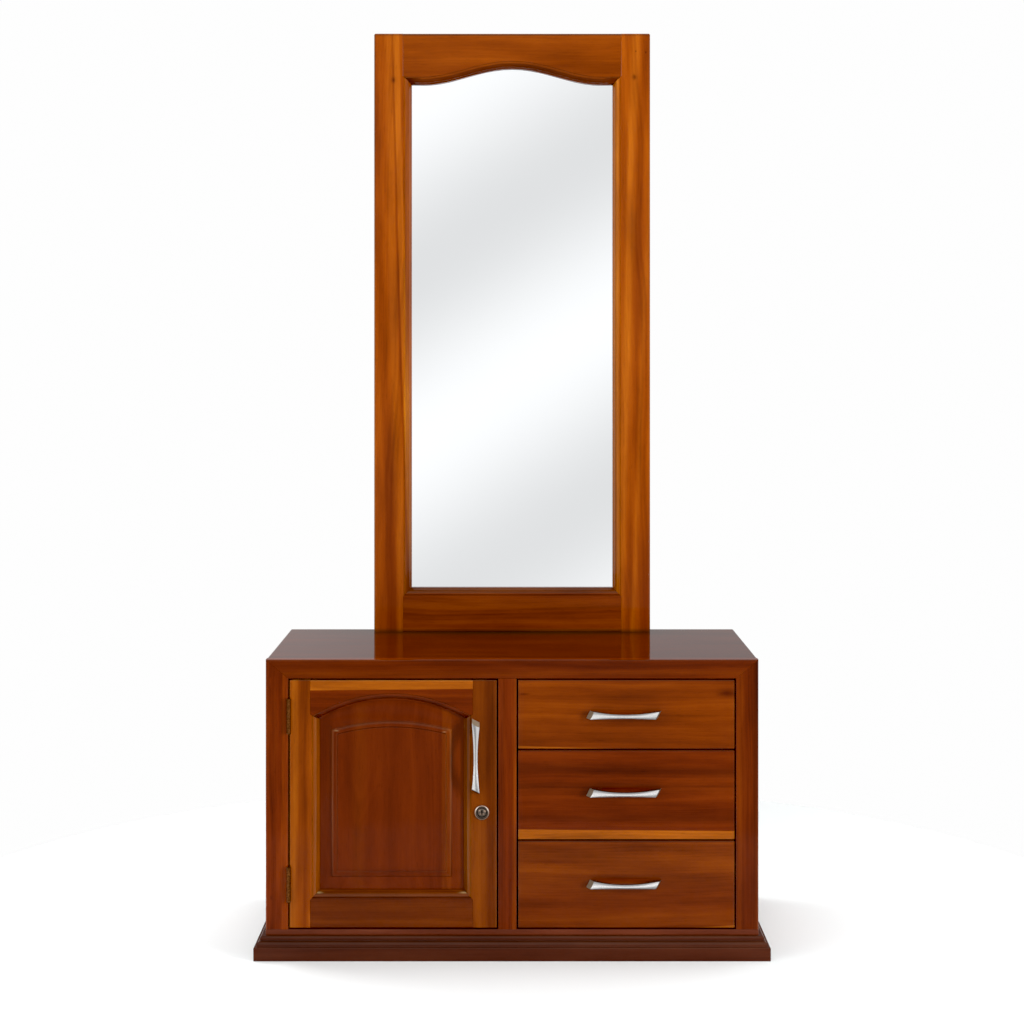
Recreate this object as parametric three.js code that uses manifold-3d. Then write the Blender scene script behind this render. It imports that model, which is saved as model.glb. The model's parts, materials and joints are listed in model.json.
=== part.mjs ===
// A dresser with a tall framed mirror: one cupboard, three drawers, a moulded plinth and bow pulls.
// Millimetres, +Z up, the front faces -Y, and the floor is z = 0.
// Heights run from the floor, widths from the middle of the case, and depths from its front face.
import * as THREE from 'three';
import { mergeVertices } from 'three/addons/utils/BufferGeometryUtils.js';
import Module from 'manifold-3d';

const wasm = await Module();
wasm.setup();

// Case
const caseWidth = 914;
const caseDepth = 406;
const caseHeight = 553;
const panelThickness = 18;
const topThickness = 20;
const backThickness = 6;
const caseEdgeRadius = 3;

// Face frame
const frameThickness = 22;
const frameStileWidth = 42;
const frameRailWidth = 35;
const mullionWidth = 34.5;
const mullionOffset = -8.75;

// Plinth, whose moulding stands out from the case
const plinthProjection = 20;
const plinthLedgeDepth = 18;
const plinthHeight = 43.5;
const bottomBoardRise = 35;
const fasciaHeight = 25;
const fasciaRadius = 2;
const ovoloFootProjection = 14.5;
const ovoloTopProjection = 9;
const ovoloFootRise = 27;
const ovoloTopRise = 34;
const plinthQuirkDepth = 1.5;
const plinthQuirkHeight = 2;
const plinthBeadRadius = 4;

// Joints between fixed pieces, and cutting tools that run past what they cut
const jointGap = 0.3;
const overrun = 5;

// The quirked bead of the door's and the mirror's mouldings
const quirkWidth = 0.8;
const beadShoulder = 2;
const crestDepth = 0.4;

// Door: frame, sticking and raised panel
const revealGap = 2.5;
const doorThickness = 22;
const doorHingeStileWidth = 38;
const doorLockStileWidth = 44;
const doorBottomRailWidth = 69.5;
const doorCrownRailWidth = 38;
const doorArchRise = 36;
const doorJointWidth = 17;
const stickingWidth = 13.5;
const stickingQuirk = 1.5;
const stickingRadius = 8;
const panelGrooveStart = 11;
const panelGrooveWidth = 6;
const panelGrooveDepth = 9;
const panelGrooveClearance = 1;
const panelFit = 0.3;
const fieldSideMargin = 22;
const fieldBottomMargin = 24;
const fieldCrownMargin = 39;
const fieldArchRise = 16;
const fieldStepWidth = 11.5;
const fieldStepDepth = 4.5;
const fieldQuirkDepth = 1.5;
const fieldRecess = 3;
const panelEdgeRelief = 0.5;

// Drawers
const topDrawerHeight = 128;
const middleDrawerHeight = 165.5;
const drawerFrontThickness = 20;
const drawerBoxLength = 350;
const drawerSideThickness = 12;
const drawerSideClearance = 3;
const drawerSideFootInset = 10;
const drawerSideTopInset = 16;
const drawerBackThickness = 12;
const drawerBottomThickness = 6;
const drawerBottomRise = 8;
const drawerBottomTongue = 5;

// Wooden runners that the drawer sides hang on
const runnerHeight = 14;
const runnerFrontInset = 4;
const runnerBackInset = 4;
const runnerGrooveDepth = 6;
const runnerTipClearance = 0.5;
const runnerRunClearance = 0.3;
const runnerStopClearance = 2;

// Mirror
const mirrorWidth = 565;
const mirrorHeight = 1224.5;
const mirrorThickness = 35;
const mirrorStileWidth = 59;
const mirrorBottomRailWidth = 89.5;
const mirrorTopRailWidth = 104;
const mirrorArchRise = 33;
const mirrorArchSpan = 370;
const mirrorJointWidth = 17.3;
const mirrorMouldWidth = 15.4;
const mirrorMouldQuirk = 1.5;
const mirrorMouldRadius = 10;
const mirrorMouldFillet = 1.5;
const glassSetback = 18;
const glassThickness = 4;
const backboardThickness = 4;
const mirrorRebateWidth = 8;

// Batten that fixes the mirror to the back of the case
const battenWidth = 460;
const battenThickness = 18;
const battenLap = 80;
const battenDrop = 70;

// Bow pulls
const pullLength = 132.5;
const pullFaceLength = 120;
const pullProjection = 27;
const pullEndProjection = 16;
const pullThickness = 7;
const pullMiddleHeight = 7.2;
const pullEndHeight = 14;
const pullCrown = 1.6;
const pullSlantShare = 0.5;
const pullFootShare = 0.78;
const doorPullInset = 38.7;
const doorPullDrop = 141.5;
const drawerPullShift = -4.5;
const topPullRise = 0.3;
const middlePullRise = 5.7;
const bottomPullRise = 2.3;

// Cam lock
const lockInset = 27.4;
const lockDrop = 104;
const lockBezelRadius = 13.75;
const lockBezelHeight = 3.2;
const lockBezelLip = 2.6;
const lockRecessDepth = 1.8;
const lockBarrelRadius = 10.5;
const lockBarrelLength = 24;
const lockPlugRadius = 8.5;
const lockPlugProud = 2.2;
const lockPlugDish = 1.2;
const lockFit = 0.3;
const keySlotWidth = 2.2;
const keySlotLength = 8;
const keySlotDepth = 8;
const camReach = 36;
const camWidth = 14;
const camThickness = 2.5;

// Butt hinges with two knuckles and a fixed pin
const hingeHeight = 61.5;
const upperHingeDrop = 36;
const lowerHingeRise = 51;
const leafThickness = 1;
const leafDepth = 18;
const knuckleRadius = 3.9;
const knuckleClearance = 0.3;
const pinRadius = 1.8;
const pinFit = 0.3;
const pinCapHeight = 1.6;

// How finely curves are cut
const archSteps = 20;
const roundSteps = 4;
const turnSteps = 32;
const pullSteps = 16;
const weldTolerance = 1e-4;

// Places that follow from the sizes
const caseHalf = caseWidth / 2;
const bottomBoardTop = bottomBoardRise + panelThickness;
const topUnderside = caseHeight - topThickness;
const backPanelFront = caseDepth - backThickness;
const sideInner = caseHalf - panelThickness;
const openingTop = caseHeight - frameRailWidth;
const openingHalf = caseHalf - frameStileWidth;
const mullionLeft = mullionOffset - mullionWidth / 2;
const mullionRight = mullionOffset + mullionWidth / 2;
const partitionLeft = mullionOffset - panelThickness / 2;
const partitionRight = mullionOffset + panelThickness / 2;
const doorLeft = -openingHalf + revealGap;
const doorRight = mullionLeft - revealGap;
const doorBottom = bottomBoardTop + revealGap;
const doorTop = openingTop - revealGap;
const hingeAxisX = -openingHalf + revealGap / 2;
const hingeAxisY = -knuckleRadius - knuckleClearance;
const doorPullHeight = doorTop - doorPullDrop;
const lockX = doorRight - lockInset;
const lockHeight = doorPullHeight - lockDrop;
const mirrorHalf = mirrorWidth / 2;
const mirrorFront = caseDepth - mirrorThickness;
const mirrorTop = caseHeight + mirrorHeight;
const glassFront = mirrorFront + glassSetback;
const glassBack = glassFront + glassThickness;
const foremost = -Math.max(plinthProjection, pullProjection);
const hindmost = caseDepth + battenThickness;

// Finishes
const wood = (color) => new THREE.MeshStandardMaterial({ color, roughness: 0.22, metalness: 0 });
const metal = (color, roughness) => new THREE.MeshStandardMaterial({ color, roughness, metalness: 1 });
const redBrown = wood(0x6f2c0a);
const amber = wood(0x94470c);
const orangeBrown = wood(0x7d370a);
const darkPlinth = wood(0x4d2110);
const paleWood = new THREE.MeshStandardMaterial({ color: 0xc9a878, roughness: 0.7, metalness: 0 });
const plyBack = new THREE.MeshStandardMaterial({ color: 0x8a6238, roughness: 0.75, metalness: 0 });
const silvered = metal(0xe8ecee, 0.03);
const satinSilver = metal(0xc4c6c8, 0.32);
const chrome = metal(0xd8d8d8, 0.12);
const agedBronze = metal(0x6b5334, 0.42);

// Makes sure that the faces of a closed geometry point out
function facingOut(geometry) {
  const place = geometry.getAttribute('position');
  const index = Array.from(geometry.index.array);
  const [a, b, c] = [new THREE.Vector3(), new THREE.Vector3(), new THREE.Vector3()];
  let volume = 0;
  for (let i = 0; i < index.length; i += 3) {
    a.fromBufferAttribute(place, index[i]);
    b.fromBufferAttribute(place, index[i + 1]);
    c.fromBufferAttribute(place, index[i + 2]);
    volume += a.dot(b.cross(c));
  }
  if (volume < 0) index.reverse();
  geometry.setIndex(index);
  return geometry;
}

// A closed solid stretched over rings of points in one order, its two ends filled as the flat outline
function skin(rings, outline) {
  const count = outline.length;
  const last = (rings.length - 1) * count;
  const index = [];
  for (let start = 0; start < last; start += count) {
    for (let i = 0; i < count; i += 1) {
      const near = start + i;
      const next = start + ((i + 1) % count);
      index.push(near, next, near + count, next, next + count, near + count);
    }
  }
  const clockwise = THREE.ShapeUtils.isClockWise(outline);
  for (const triangle of THREE.ShapeUtils.triangulateShape(outline, [])) {
    const corners = triangle.map((i) => outline[i]);
    const agrees = THREE.ShapeUtils.isClockWise(corners) === clockwise;
    const [a, b, c] = agrees ? triangle : triangle.reverse();
    index.push(c, b, a, last + a, last + b, last + c);
  }
  const geometry = new THREE.BufferGeometry();
  const numbers = rings.flat().flatMap((point) => point.toArray());
  geometry.setAttribute('position', new THREE.Float32BufferAttribute(numbers, 3));
  geometry.setIndex(index);
  return facingOut(geometry);
}

// A ring that stands up facing the front, from an outline of widths and heights
const upright = (outline, depth) => outline.map((p) => new THREE.Vector3(p.x, depth, p.y));

// A slab with the given front outline between two depths
const slab = (outline, front, back) => skin([upright(outline, front), upright(outline, back)], outline);

// A plain board between six planes
function board(left, right, front, back, low, high) {
  const geometry = new THREE.BoxGeometry(right - left, back - front, high - low);
  return geometry.translate((left + right) / 2, (front + back) / 2, (low + high) / 2);
}

// A round bar or ring from its profile of radius and distance along its axis: lying along Y, or upright
const turnedLevel = (profile) => facingOut(new THREE.LatheGeometry(profile, turnSteps));
const turnedUpright = (profile) => turnedLevel(profile).rotateX(Math.PI / 2);

const point = (x, y) => new THREE.Vector2(x, y);

const arc = (x, y, radius, from, to, steps) => (
  new THREE.EllipseCurve(x, y, radius, radius, from, to, to < from).getPoints(steps)
);

// Moves every side of a counterclockwise outline outwards, keeping the corners mitred
function offset(outline, distance) {
  const count = outline.length;
  return outline.map((corner, i) => {
    const before = corner.clone().sub(outline[(i + count - 1) % count]).normalize();
    const after = outline[(i + 1) % count].clone().sub(corner).normalize();
    const first = point(before.y, -before.x);
    const second = point(after.y, -after.x);
    const reach = distance / (1 + first.dot(second));
    return corner.clone().addScaledVector(first.add(second), reach);
  });
}

// An opening with a straight foot and sides under a round arch
function archedOutline(left, right, bottom, crown, rise) {
  const half = (right - left) / 2;
  const radius = (half * half + rise * rise) / (2 * rise);
  const spread = Math.asin(half / radius);
  const middle = Math.PI / 2;
  const arch = arc((left + right) / 2, crown - radius, radius, middle - spread, middle + spread, archSteps);
  return [point(left, bottom), point(right, bottom), ...arch];
}

// The mirror's opening, whose head swells up in the middle between two level stretches
function swelledOutline(left, right, bottom, springing) {
  const head = [point(right, springing)];
  const half = mirrorArchSpan / 2;
  for (let i = 0; i <= archSteps; i += 1) {
    const x = half * (1 - (2 * i) / archSteps);
    head.push(point(x, springing + (mirrorArchRise / 2) * (1 + Math.cos((Math.PI * x) / half))));
  }
  head.push(point(left, springing));
  return [point(left, bottom), point(right, bottom), ...head];
}

// Stations of a bead beside a narrow groove, each an offset and a depth: from the groove's wall and floor
// up to the bead's crest, then down over the given run and drop
function quirkedBead(start, quirk, run, drop) {
  const floor = start - quirkWidth;
  const crest = floor - beadShoulder;
  const stations = [point(start, quirk), point(floor, quirk)];
  for (let i = 1; i <= roundSteps; i += 1) {
    const angle = (Math.PI / 2) * (i / roundSteps);
    stations.push(point(
      floor - beadShoulder * (1 - Math.cos(angle)), quirk - (quirk - crestDepth) * Math.sin(angle),
    ));
  }
  for (let i = 1; i <= roundSteps; i += 1) {
    const angle = (Math.PI / 2) * (i / roundSteps);
    stations.push(point(crest - run * Math.sin(angle), crestDepth + drop * (1 - Math.cos(angle))));
  }
  return stations;
}

// Stations of offset and depth for a moulded edge: a quirked bead and a flat fillet
function mouldStations(width, quirk, radius, fillet, through) {
  const bead = quirkedBead(width, quirk, radius, radius);
  const foot = bead[bead.length - 1];
  return [point(width, -overrun), ...bead, point(0, foot.y + fillet), point(0, through + overrun)];
}

// The tool that cuts a moulded opening through a framed piece
const mouldedOpening = (outline, stations, face) => (
  skin(stations.map((s) => upright(offset(outline, s.x), face + s.y)), outline)
);

// Front outlines of two stiles and two rails round an opening; the rails butt between the stiles
// as far as the joint width, and the moulding inside that is mitred
function framedOutlines(left, right, bottom, top, sight, jointWidth) {
  const joint = offset(sight, jointWidth);
  const end = sight.length - 1;
  const bottomRail = [
    point(joint[0].x, bottom), point(joint[1].x, bottom), joint[1], sight[1], sight[0], joint[0],
  ];
  const topRail = [
    joint[end], sight[end], sight[2], joint[2], point(joint[2].x, top), point(joint[end].x, top),
  ];
  const leftStile = [
    point(left, bottom), point(joint[0].x, bottom), joint[0], sight[0],
    sight[end], joint[end], point(joint[end].x, top), point(left, top),
  ];
  const rightStile = [
    point(joint[1].x, bottom), point(right, bottom), point(right, top),
    point(joint[2].x, top), joint[2], sight[2], sight[1], joint[1],
  ];
  return {
    leftStile,
    rightStile,
    bottomRail: offset(bottomRail, -jointGap),
    topRail: offset(topRail, -jointGap),
  };
}

// Cuts and joins
function solid(geometry) {
  const bare = new THREE.BufferGeometry();
  bare.setAttribute('position', geometry.getAttribute('position'));
  if (geometry.index) bare.setIndex(geometry.index);
  const merged = mergeVertices(bare, weldTolerance);
  const vertProperties = new Float32Array(merged.getAttribute('position').array);
  const triVerts = new Uint32Array(merged.index.array);
  return new wasm.Manifold(new wasm.Mesh({ numProp: 3, vertProperties, triVerts }));
}

function meshed(shape) {
  const { vertProperties, triVerts } = shape.getMesh();
  const geometry = new THREE.BufferGeometry();
  geometry.setAttribute('position', new THREE.Float32BufferAttribute(vertProperties, 3));
  geometry.setIndex(Array.from(triVerts));
  return geometry;
}

const cut = (piece, ...tools) => (
  meshed(tools.reduce((left, tool) => left.subtract(solid(tool)), solid(piece)))
);

const join = (...pieces) => meshed(pieces.map(solid).reduce((all, piece) => all.add(piece)));

function named(name, geometry, material) {
  const mesh = new THREE.Mesh(geometry, material);
  mesh.name = name;
  return mesh;
}

// Carcass

// The top, with its two side edges rounded over
function cabinetTop() {
  const r = caseEdgeRadius;
  const outline = [
    point(-caseHalf, topUnderside),
    point(caseHalf, topUnderside),
    ...arc(caseHalf - r, caseHeight - r, r, 0, Math.PI / 2, roundSteps),
    ...arc(r - caseHalf, caseHeight - r, r, Math.PI / 2, Math.PI, roundSteps),
  ];
  return slab(outline, frameThickness, caseDepth);
}

function buildCarcass() {
  const carcass = new THREE.Group();
  const side = (left, right) => board(left, right, frameThickness, caseDepth, bottomBoardTop, topUnderside);
  carcass.add(
    named('cabinet_top', cabinetTop(), redBrown),
    named('left_side_panel', side(-caseHalf, -sideInner), redBrown),
    named('right_side_panel', side(sideInner, caseHalf), redBrown),
    named('bottom_board', board(
      -caseHalf, caseHalf, 0, caseDepth, bottomBoardRise, bottomBoardTop,
    ), redBrown),
    named('centre_partition', board(
      partitionLeft, partitionRight, frameThickness, backPanelFront, bottomBoardTop, topUnderside,
    ), paleWood),
    named('back_panel', board(
      -sideInner, sideInner, backPanelFront, caseDepth, bottomBoardTop, topUnderside,
    ), plyBack),
  );
  return carcass;
}

// Face frame: two stiles mitred to the top rail, with a mullion between door and drawers

// How far below the case top the mitre lies at a distance in from the case side
const mitreDrop = (inset) => (inset * frameRailWidth) / frameStileWidth;

function frameStile(side) {
  const r = caseEdgeRadius;
  const outline = [
    point(openingHalf, frameThickness),
    point(openingHalf, 0),
    ...arc(caseHalf - r, r, r, -Math.PI / 2, 0, roundSteps),
    point(caseHalf, frameThickness),
  ].map((p) => point(side * p.x, p.y));
  const mitre = (x) => caseHeight - jointGap - mitreDrop(caseHalf - Math.abs(x));
  const foot = outline.map((p) => new THREE.Vector3(p.x, p.y, bottomBoardTop));
  const head = outline.map((p) => new THREE.Vector3(p.x, p.y, mitre(p.x)));
  return skin([foot, head], outline);
}

function frameTopRail() {
  const r = caseEdgeRadius;
  const outline = [
    point(0, openingTop),
    point(frameThickness, openingTop),
    point(frameThickness, caseHeight),
    ...arc(r, caseHeight - r, r, Math.PI / 2, Math.PI, roundSteps),
  ];
  const reach = (height) => caseHalf - ((caseHeight - height) * frameStileWidth) / frameRailWidth;
  const end = (side) => outline.map((p) => new THREE.Vector3(side * reach(p.y), p.x, p.y));
  return skin([end(-1), end(1)], outline);
}

function buildFaceFrame() {
  const frame = new THREE.Group();
  frame.add(
    named('frame_left_stile', frameStile(-1), redBrown),
    named('frame_right_stile', frameStile(1), redBrown),
    named('frame_top_rail', frameTopRail(), redBrown),
    named('frame_centre_mullion', board(
      mullionLeft, mullionRight, 0, frameThickness, bottomBoardTop, openingTop,
    ), redBrown),
  );
  return frame;
}

// Plinth: a moulded board on three sides, rebated to carry the bottom board, and a plain one behind

function plinthProfile() {
  const r = fasciaRadius;
  const bead = plinthBeadRadius;
  const quirkTop = ovoloTopRise + plinthQuirkHeight;
  const ovolo = [];
  for (let i = 0; i <= roundSteps; i += 1) {
    const angle = (Math.PI / 2) * (i / roundSteps);
    const across = (ovoloFootProjection - ovoloTopProjection) * Math.cos(angle);
    const up = (ovoloTopRise - ovoloFootRise) * Math.sin(angle);
    ovolo.push(point(ovoloTopProjection + across, ovoloFootRise + up));
  }
  return [
    point(-plinthLedgeDepth, 0),
    point(plinthProjection, 0),
    ...arc(plinthProjection - r, fasciaHeight - r, r, 0, Math.PI / 2, roundSteps),
    point(ovoloFootProjection, fasciaHeight),
    ...ovolo,
    point(ovoloTopProjection - plinthQuirkDepth, ovoloTopRise),
    point(ovoloTopProjection - plinthQuirkDepth, quirkTop),
    point(ovoloTopProjection, quirkTop),
    ...arc(ovoloTopProjection - bead, plinthHeight - bead, bead, 0, Math.PI / 2, roundSteps),
    point(jointGap, plinthHeight),
    point(jointGap, bottomBoardRise),
    point(-plinthLedgeDepth, bottomBoardRise),
  ];
}

function buildPlinth() {
  const plinth = new THREE.Group();
  const outline = plinthProfile();
  const corner = (side, gap) => outline.map((p) => (
    new THREE.Vector3(side * (caseHalf + p.x - gap), -p.x, p.y)
  ));
  const tail = (side) => outline.map((p) => new THREE.Vector3(side * (caseHalf + p.x), caseDepth, p.y));
  const inner = caseHalf - plinthLedgeDepth;
  plinth.add(
    named('plinth_front', skin([corner(-1, jointGap), corner(1, jointGap)], outline), darkPlinth),
    named('plinth_left', skin([corner(-1, 0), tail(-1)], outline), darkPlinth),
    named('plinth_right', skin([corner(1, 0), tail(1)], outline), darkPlinth),
    named('plinth_back', board(
      -inner, inner, caseDepth - plinthLedgeDepth, caseDepth, 0, bottomBoardRise,
    ), darkPlinth),
  );
  return plinth;
}

// Bow pull: a bar that bows out from two feet, waisted in the middle and cut slantwise at its ends.
// It lies along X with its back on y = 0.
function bowPull() {
  const rings = [];
  const crownShares = [-1, -0.6, 0, 0.6, 1];
  let outline = [];
  for (let i = 0; i <= pullSteps; i += 1) {
    const share = Math.sin((Math.PI / 2) * ((2 * i) / pullSteps - 1));
    const bend = share * share;
    const half = (pullMiddleHeight + (pullEndHeight - pullMiddleHeight) * bend) / 2;
    const front = pullProjection - (pullProjection - pullEndProjection) * bend;
    const hollow = Math.max(0, 1 - bend / (pullFootShare * pullFootShare));
    const back = (pullProjection - pullThickness) * Math.sqrt(hollow);
    const crown = crownShares.map((c) => point(c * half, front - pullCrown * c * c));
    const section = [point(-half, back), ...crown, point(half, back)];
    rings.push(section.map((p) => {
      const length = pullLength - (pullLength - pullFaceLength) * (p.y / front);
      return new THREE.Vector3((share * length) / 2 + p.x * pullSlantShare * bend, -p.y, p.x);
    }));
    outline = section;
  }
  return skin(rings, outline);
}

const pullShape = bowPull();

function pullAt(name, x, z, turn) {
  const pull = named(name, pullShape, satinSilver);
  pull.position.set(x, 0, z);
  pull.rotation.y = turn;
  return pull;
}

// Door: two stiles, an arched top rail, a bottom rail and a raised panel held in grooves

const doorSight = archedOutline(
  doorLeft + doorHingeStileWidth + doorJointWidth,
  doorRight - doorLockStileWidth - doorJointWidth,
  doorBottom + doorBottomRailWidth,
  doorTop - doorCrownRailWidth,
  doorArchRise,
);

function raisedPanel() {
  const tongue = offset(doorSight, panelGrooveDepth - panelGrooveClearance);
  const foot = archedOutline(
    doorSight[0].x + fieldSideMargin,
    doorSight[1].x - fieldSideMargin,
    doorSight[0].y + fieldBottomMargin,
    doorTop - doorCrownRailWidth - fieldCrownMargin,
    fieldArchRise,
  );
  const tongueFront = panelGrooveStart + panelFit;
  const tongueBack = panelGrooveStart + panelGrooveWidth - panelFit;
  const field = offset(foot, -fieldStepWidth);
  const bead = quirkedBead(
    fieldStepWidth, fieldQuirkDepth, fieldStepWidth - quirkWidth - beadShoulder, fieldStepDepth - crestDepth,
  );
  const rings = [
    upright(field, fieldRecess), ...bead.map((s) => upright(offset(foot, -s.x), fieldRecess + s.y)),
  ];
  rings.push(
    upright(offset(doorSight, -panelEdgeRelief), tongueFront),
    upright(tongue, tongueFront),
    upright(tongue, tongueBack),
  );
  return skin(rings, doorSight);
}

function buildDoor() {
  const door = new THREE.Group();
  const outlines = framedOutlines(doorLeft, doorRight, doorBottom, doorTop, doorSight, doorJointWidth);
  const stations = mouldStations(stickingWidth, stickingQuirk, stickingRadius, 0, doorThickness);
  const opening = mouldedOpening(doorSight, stations, 0);
  const groove = slab(
    offset(doorSight, panelGrooveDepth), panelGrooveStart, panelGrooveStart + panelGrooveWidth,
  );
  const member = (outline) => cut(slab(outline, 0, doorThickness), opening, groove);
  const lockHole = new THREE.CylinderGeometry(
    lockBarrelRadius + lockFit, lockBarrelRadius + lockFit, doorThickness + 2 * overrun, turnSteps,
  ).translate(lockX, doorThickness / 2, lockHeight);
  door.add(
    named('door_hinge_stile', member(outlines.leftStile), amber),
    named('door_lock_stile', cut(member(outlines.rightStile), lockHole), amber),
    named('door_top_rail', member(outlines.topRail), orangeBrown),
    named('door_bottom_rail', member(outlines.bottomRail), orangeBrown),
    named('door_panel', raisedPanel(), redBrown),
    pullAt('door_handle', doorRight - doorPullInset, doorPullHeight, Math.PI / 2),
  );
  return door;
}

// Cam lock: a barrel with a bezel in the door, a plug that the key turns, and the cam behind it

function buildLock() {
  const lock = new THREE.Group();
  const bore = lockPlugRadius + lockFit;
  const recessFloor = -lockBezelHeight + lockRecessDepth;
  const bodyProfile = [
    point(bore, recessFloor),
    point(bore, lockBarrelLength),
    point(lockBarrelRadius, lockBarrelLength),
    point(lockBarrelRadius, 0),
    point(lockBezelRadius, 0),
    point(lockBezelRadius, -lockBezelHeight / 2),
    point(lockBezelRadius - lockBezelLip / 2, -lockBezelHeight),
    point(lockBezelRadius - lockBezelLip, recessFloor),
    point(bore, recessFloor),
  ];
  const plugProfile = [
    point(0, -lockPlugProud + lockPlugDish),
    point(lockPlugRadius / 2, -lockPlugProud + lockPlugDish),
    point(lockPlugRadius - lockPlugDish, -lockPlugProud),
    point(lockPlugRadius, -lockPlugProud + lockPlugDish),
    point(lockPlugRadius, lockBarrelLength),
    point(0, lockBarrelLength),
  ];
  const slotHalf = keySlotWidth / 2;
  const plugSolid = cut(turnedLevel(plugProfile), board(
    -slotHalf, slotHalf, -lockPlugProud - overrun, keySlotDepth, -keySlotLength / 2, keySlotLength / 2,
  ));
  const camHalf = camWidth / 2;
  const camOutline = [
    ...arc(0, 0, camHalf, 0, Math.PI, 2 * roundSteps),
    ...arc(0, camHalf - camReach, camHalf, Math.PI, 2 * Math.PI, 2 * roundSteps),
  ];
  lock.add(
    named('lock_body', turnedLevel(bodyProfile), chrome),
    named('lock_cylinder', plugSolid, chrome),
    named('lock_cam', slab(camOutline, lockBarrelLength, lockBarrelLength + camThickness), satinSilver),
  );
  lock.position.set(lockX, 0, lockHeight);
  return lock;
}

// Butt hinge with its axis at x = y = 0 and its foot at z = 0: the frame's knuckle is the lower one

function ringProfile(inner, outer, low, high) {
  return [point(inner, low), point(outer, low), point(outer, high), point(inner, high), point(inner, low)];
}

function hingeLeaf(side, low, high) {
  const wallSide = (side * revealGap) / 2;
  const gapSide = wallSide - side * leafThickness;
  const [left, right] = [Math.min(wallSide, gapSide), Math.max(wallSide, gapSide)];
  const faceline = knuckleRadius + knuckleClearance;
  const bore = pinRadius + pinFit;
  const wide = board(left, right, faceline, faceline + leafDepth, 0, hingeHeight);
  const neck = board(left, right, 0, faceline + leafDepth, low, high);
  const knuckle = turnedUpright(ringProfile(bore, knuckleRadius, low, high));
  const clearance = new THREE.CylinderGeometry(bore, bore, hingeHeight + 2 * overrun, turnSteps)
    .rotateX(Math.PI / 2).translate(0, 0, hingeHeight / 2);
  return cut(join(wide, neck, knuckle), clearance);
}

function hingePin() {
  const capGap = knuckleClearance;
  return turnedUpright([
    point(0, -capGap - pinCapHeight),
    point(knuckleRadius, -capGap - pinCapHeight),
    point(knuckleRadius, -capGap),
    point(pinRadius, -capGap),
    point(pinRadius, hingeHeight + capGap),
    point(knuckleRadius, hingeHeight + capGap),
    point(knuckleRadius, hingeHeight + capGap + pinCapHeight),
    point(0, hingeHeight + capGap + pinCapHeight),
  ]);
}

function buildHinge(name, foot) {
  const hinge = new THREE.Group();
  const middle = hingeHeight / 2;
  hinge.add(
    named(`${name}_frame_leaf`, hingeLeaf(-1, 0, middle - knuckleClearance / 2), agedBronze),
    named(`${name}_door_leaf`, hingeLeaf(1, middle + knuckleClearance / 2, hingeHeight), agedBronze),
    named(`${name}_pin`, hingePin(), agedBronze),
  );
  hinge.position.set(hingeAxisX, hingeAxisY, foot);
  return hinge;
}

// Drawers: each hangs by grooves in its sides on two wooden runners

const drawerLeft = mullionRight + revealGap;
const drawerRight = openingHalf - revealGap;
const drawerPullX = (drawerLeft + drawerRight) / 2 + drawerPullShift;
const boxLeft = mullionRight + drawerSideClearance;
const boxRight = openingHalf - drawerSideClearance;
const boxBack = drawerFrontThickness + drawerBoxLength;
const runnerFront = frameThickness + runnerFrontInset;

function buildDrawer(name, low, high, pullRise) {
  const drawer = new THREE.Group();
  const sideLow = low + drawerSideFootInset;
  const sideHigh = high - drawerSideTopInset;
  const bottomLow = sideLow + drawerBottomRise;
  const bottomHigh = bottomLow + drawerBottomThickness;
  const innerLeft = boxLeft + drawerSideThickness;
  const innerRight = boxRight - drawerSideThickness;
  const runnerMiddle = (sideLow + sideHigh) / 2;
  const grooveLow = runnerMiddle - runnerHeight / 2 - runnerRunClearance;
  const grooveHigh = runnerMiddle + runnerHeight / 2 + runnerRunClearance;
  const grooveFront = runnerFront - runnerStopClearance;
  const bottomGroove = board(
    innerLeft - drawerBottomTongue, innerRight + drawerBottomTongue,
    drawerFrontThickness - drawerBottomTongue, boxBack + overrun, bottomLow, bottomHigh,
  );
  const runnerGroove = (left, right) => board(
    left, right, grooveFront, boxBack + overrun, grooveLow, grooveHigh,
  );
  const runnerGrooves = [
    runnerGroove(boxLeft - overrun, boxLeft + runnerGrooveDepth),
    runnerGroove(boxRight - runnerGrooveDepth, boxRight + overrun),
  ];
  const side = (left, right) => cut(
    board(left, right, drawerFrontThickness, boxBack, sideLow, sideHigh), bottomGroove, ...runnerGrooves,
  );
  const front = board(drawerLeft, drawerRight, 0, drawerFrontThickness, low, high);
  drawer.add(
    named(`${name}_front`, cut(front, bottomGroove), orangeBrown),
    named(`${name}_left_side`, side(boxLeft, innerLeft), paleWood),
    named(`${name}_right_side`, side(innerRight, boxRight), paleWood),
    named(`${name}_back`, board(
      innerLeft, innerRight, boxBack - drawerBackThickness, boxBack, bottomHigh, sideHigh,
    ), paleWood),
    named(`${name}_bottom`, board(
      innerLeft - drawerBottomTongue, innerRight + drawerBottomTongue,
      drawerFrontThickness - drawerBottomTongue, boxBack, bottomLow, bottomHigh,
    ), plyBack),
    pullAt(`${name}_handle`, drawerPullX, (low + high) / 2 + pullRise, 0),
  );
  return drawer;
}

function buildRunners(name, low, high) {
  const runners = new THREE.Group();
  const middle = (low + drawerSideFootInset + high - drawerSideTopInset) / 2;
  const [foot, head] = [middle - runnerHeight / 2, middle + runnerHeight / 2];
  const reach = runnerGrooveDepth - runnerTipClearance;
  const batten = (left, right) => board(
    left, right, runnerFront, backPanelFront - runnerBackInset, foot, head,
  );
  runners.add(
    named(`${name}_left_runner`, batten(partitionRight, boxLeft + reach), paleWood),
    named(`${name}_right_runner`, batten(boxRight - reach, sideInner), paleWood),
  );
  return runners;
}

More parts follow.
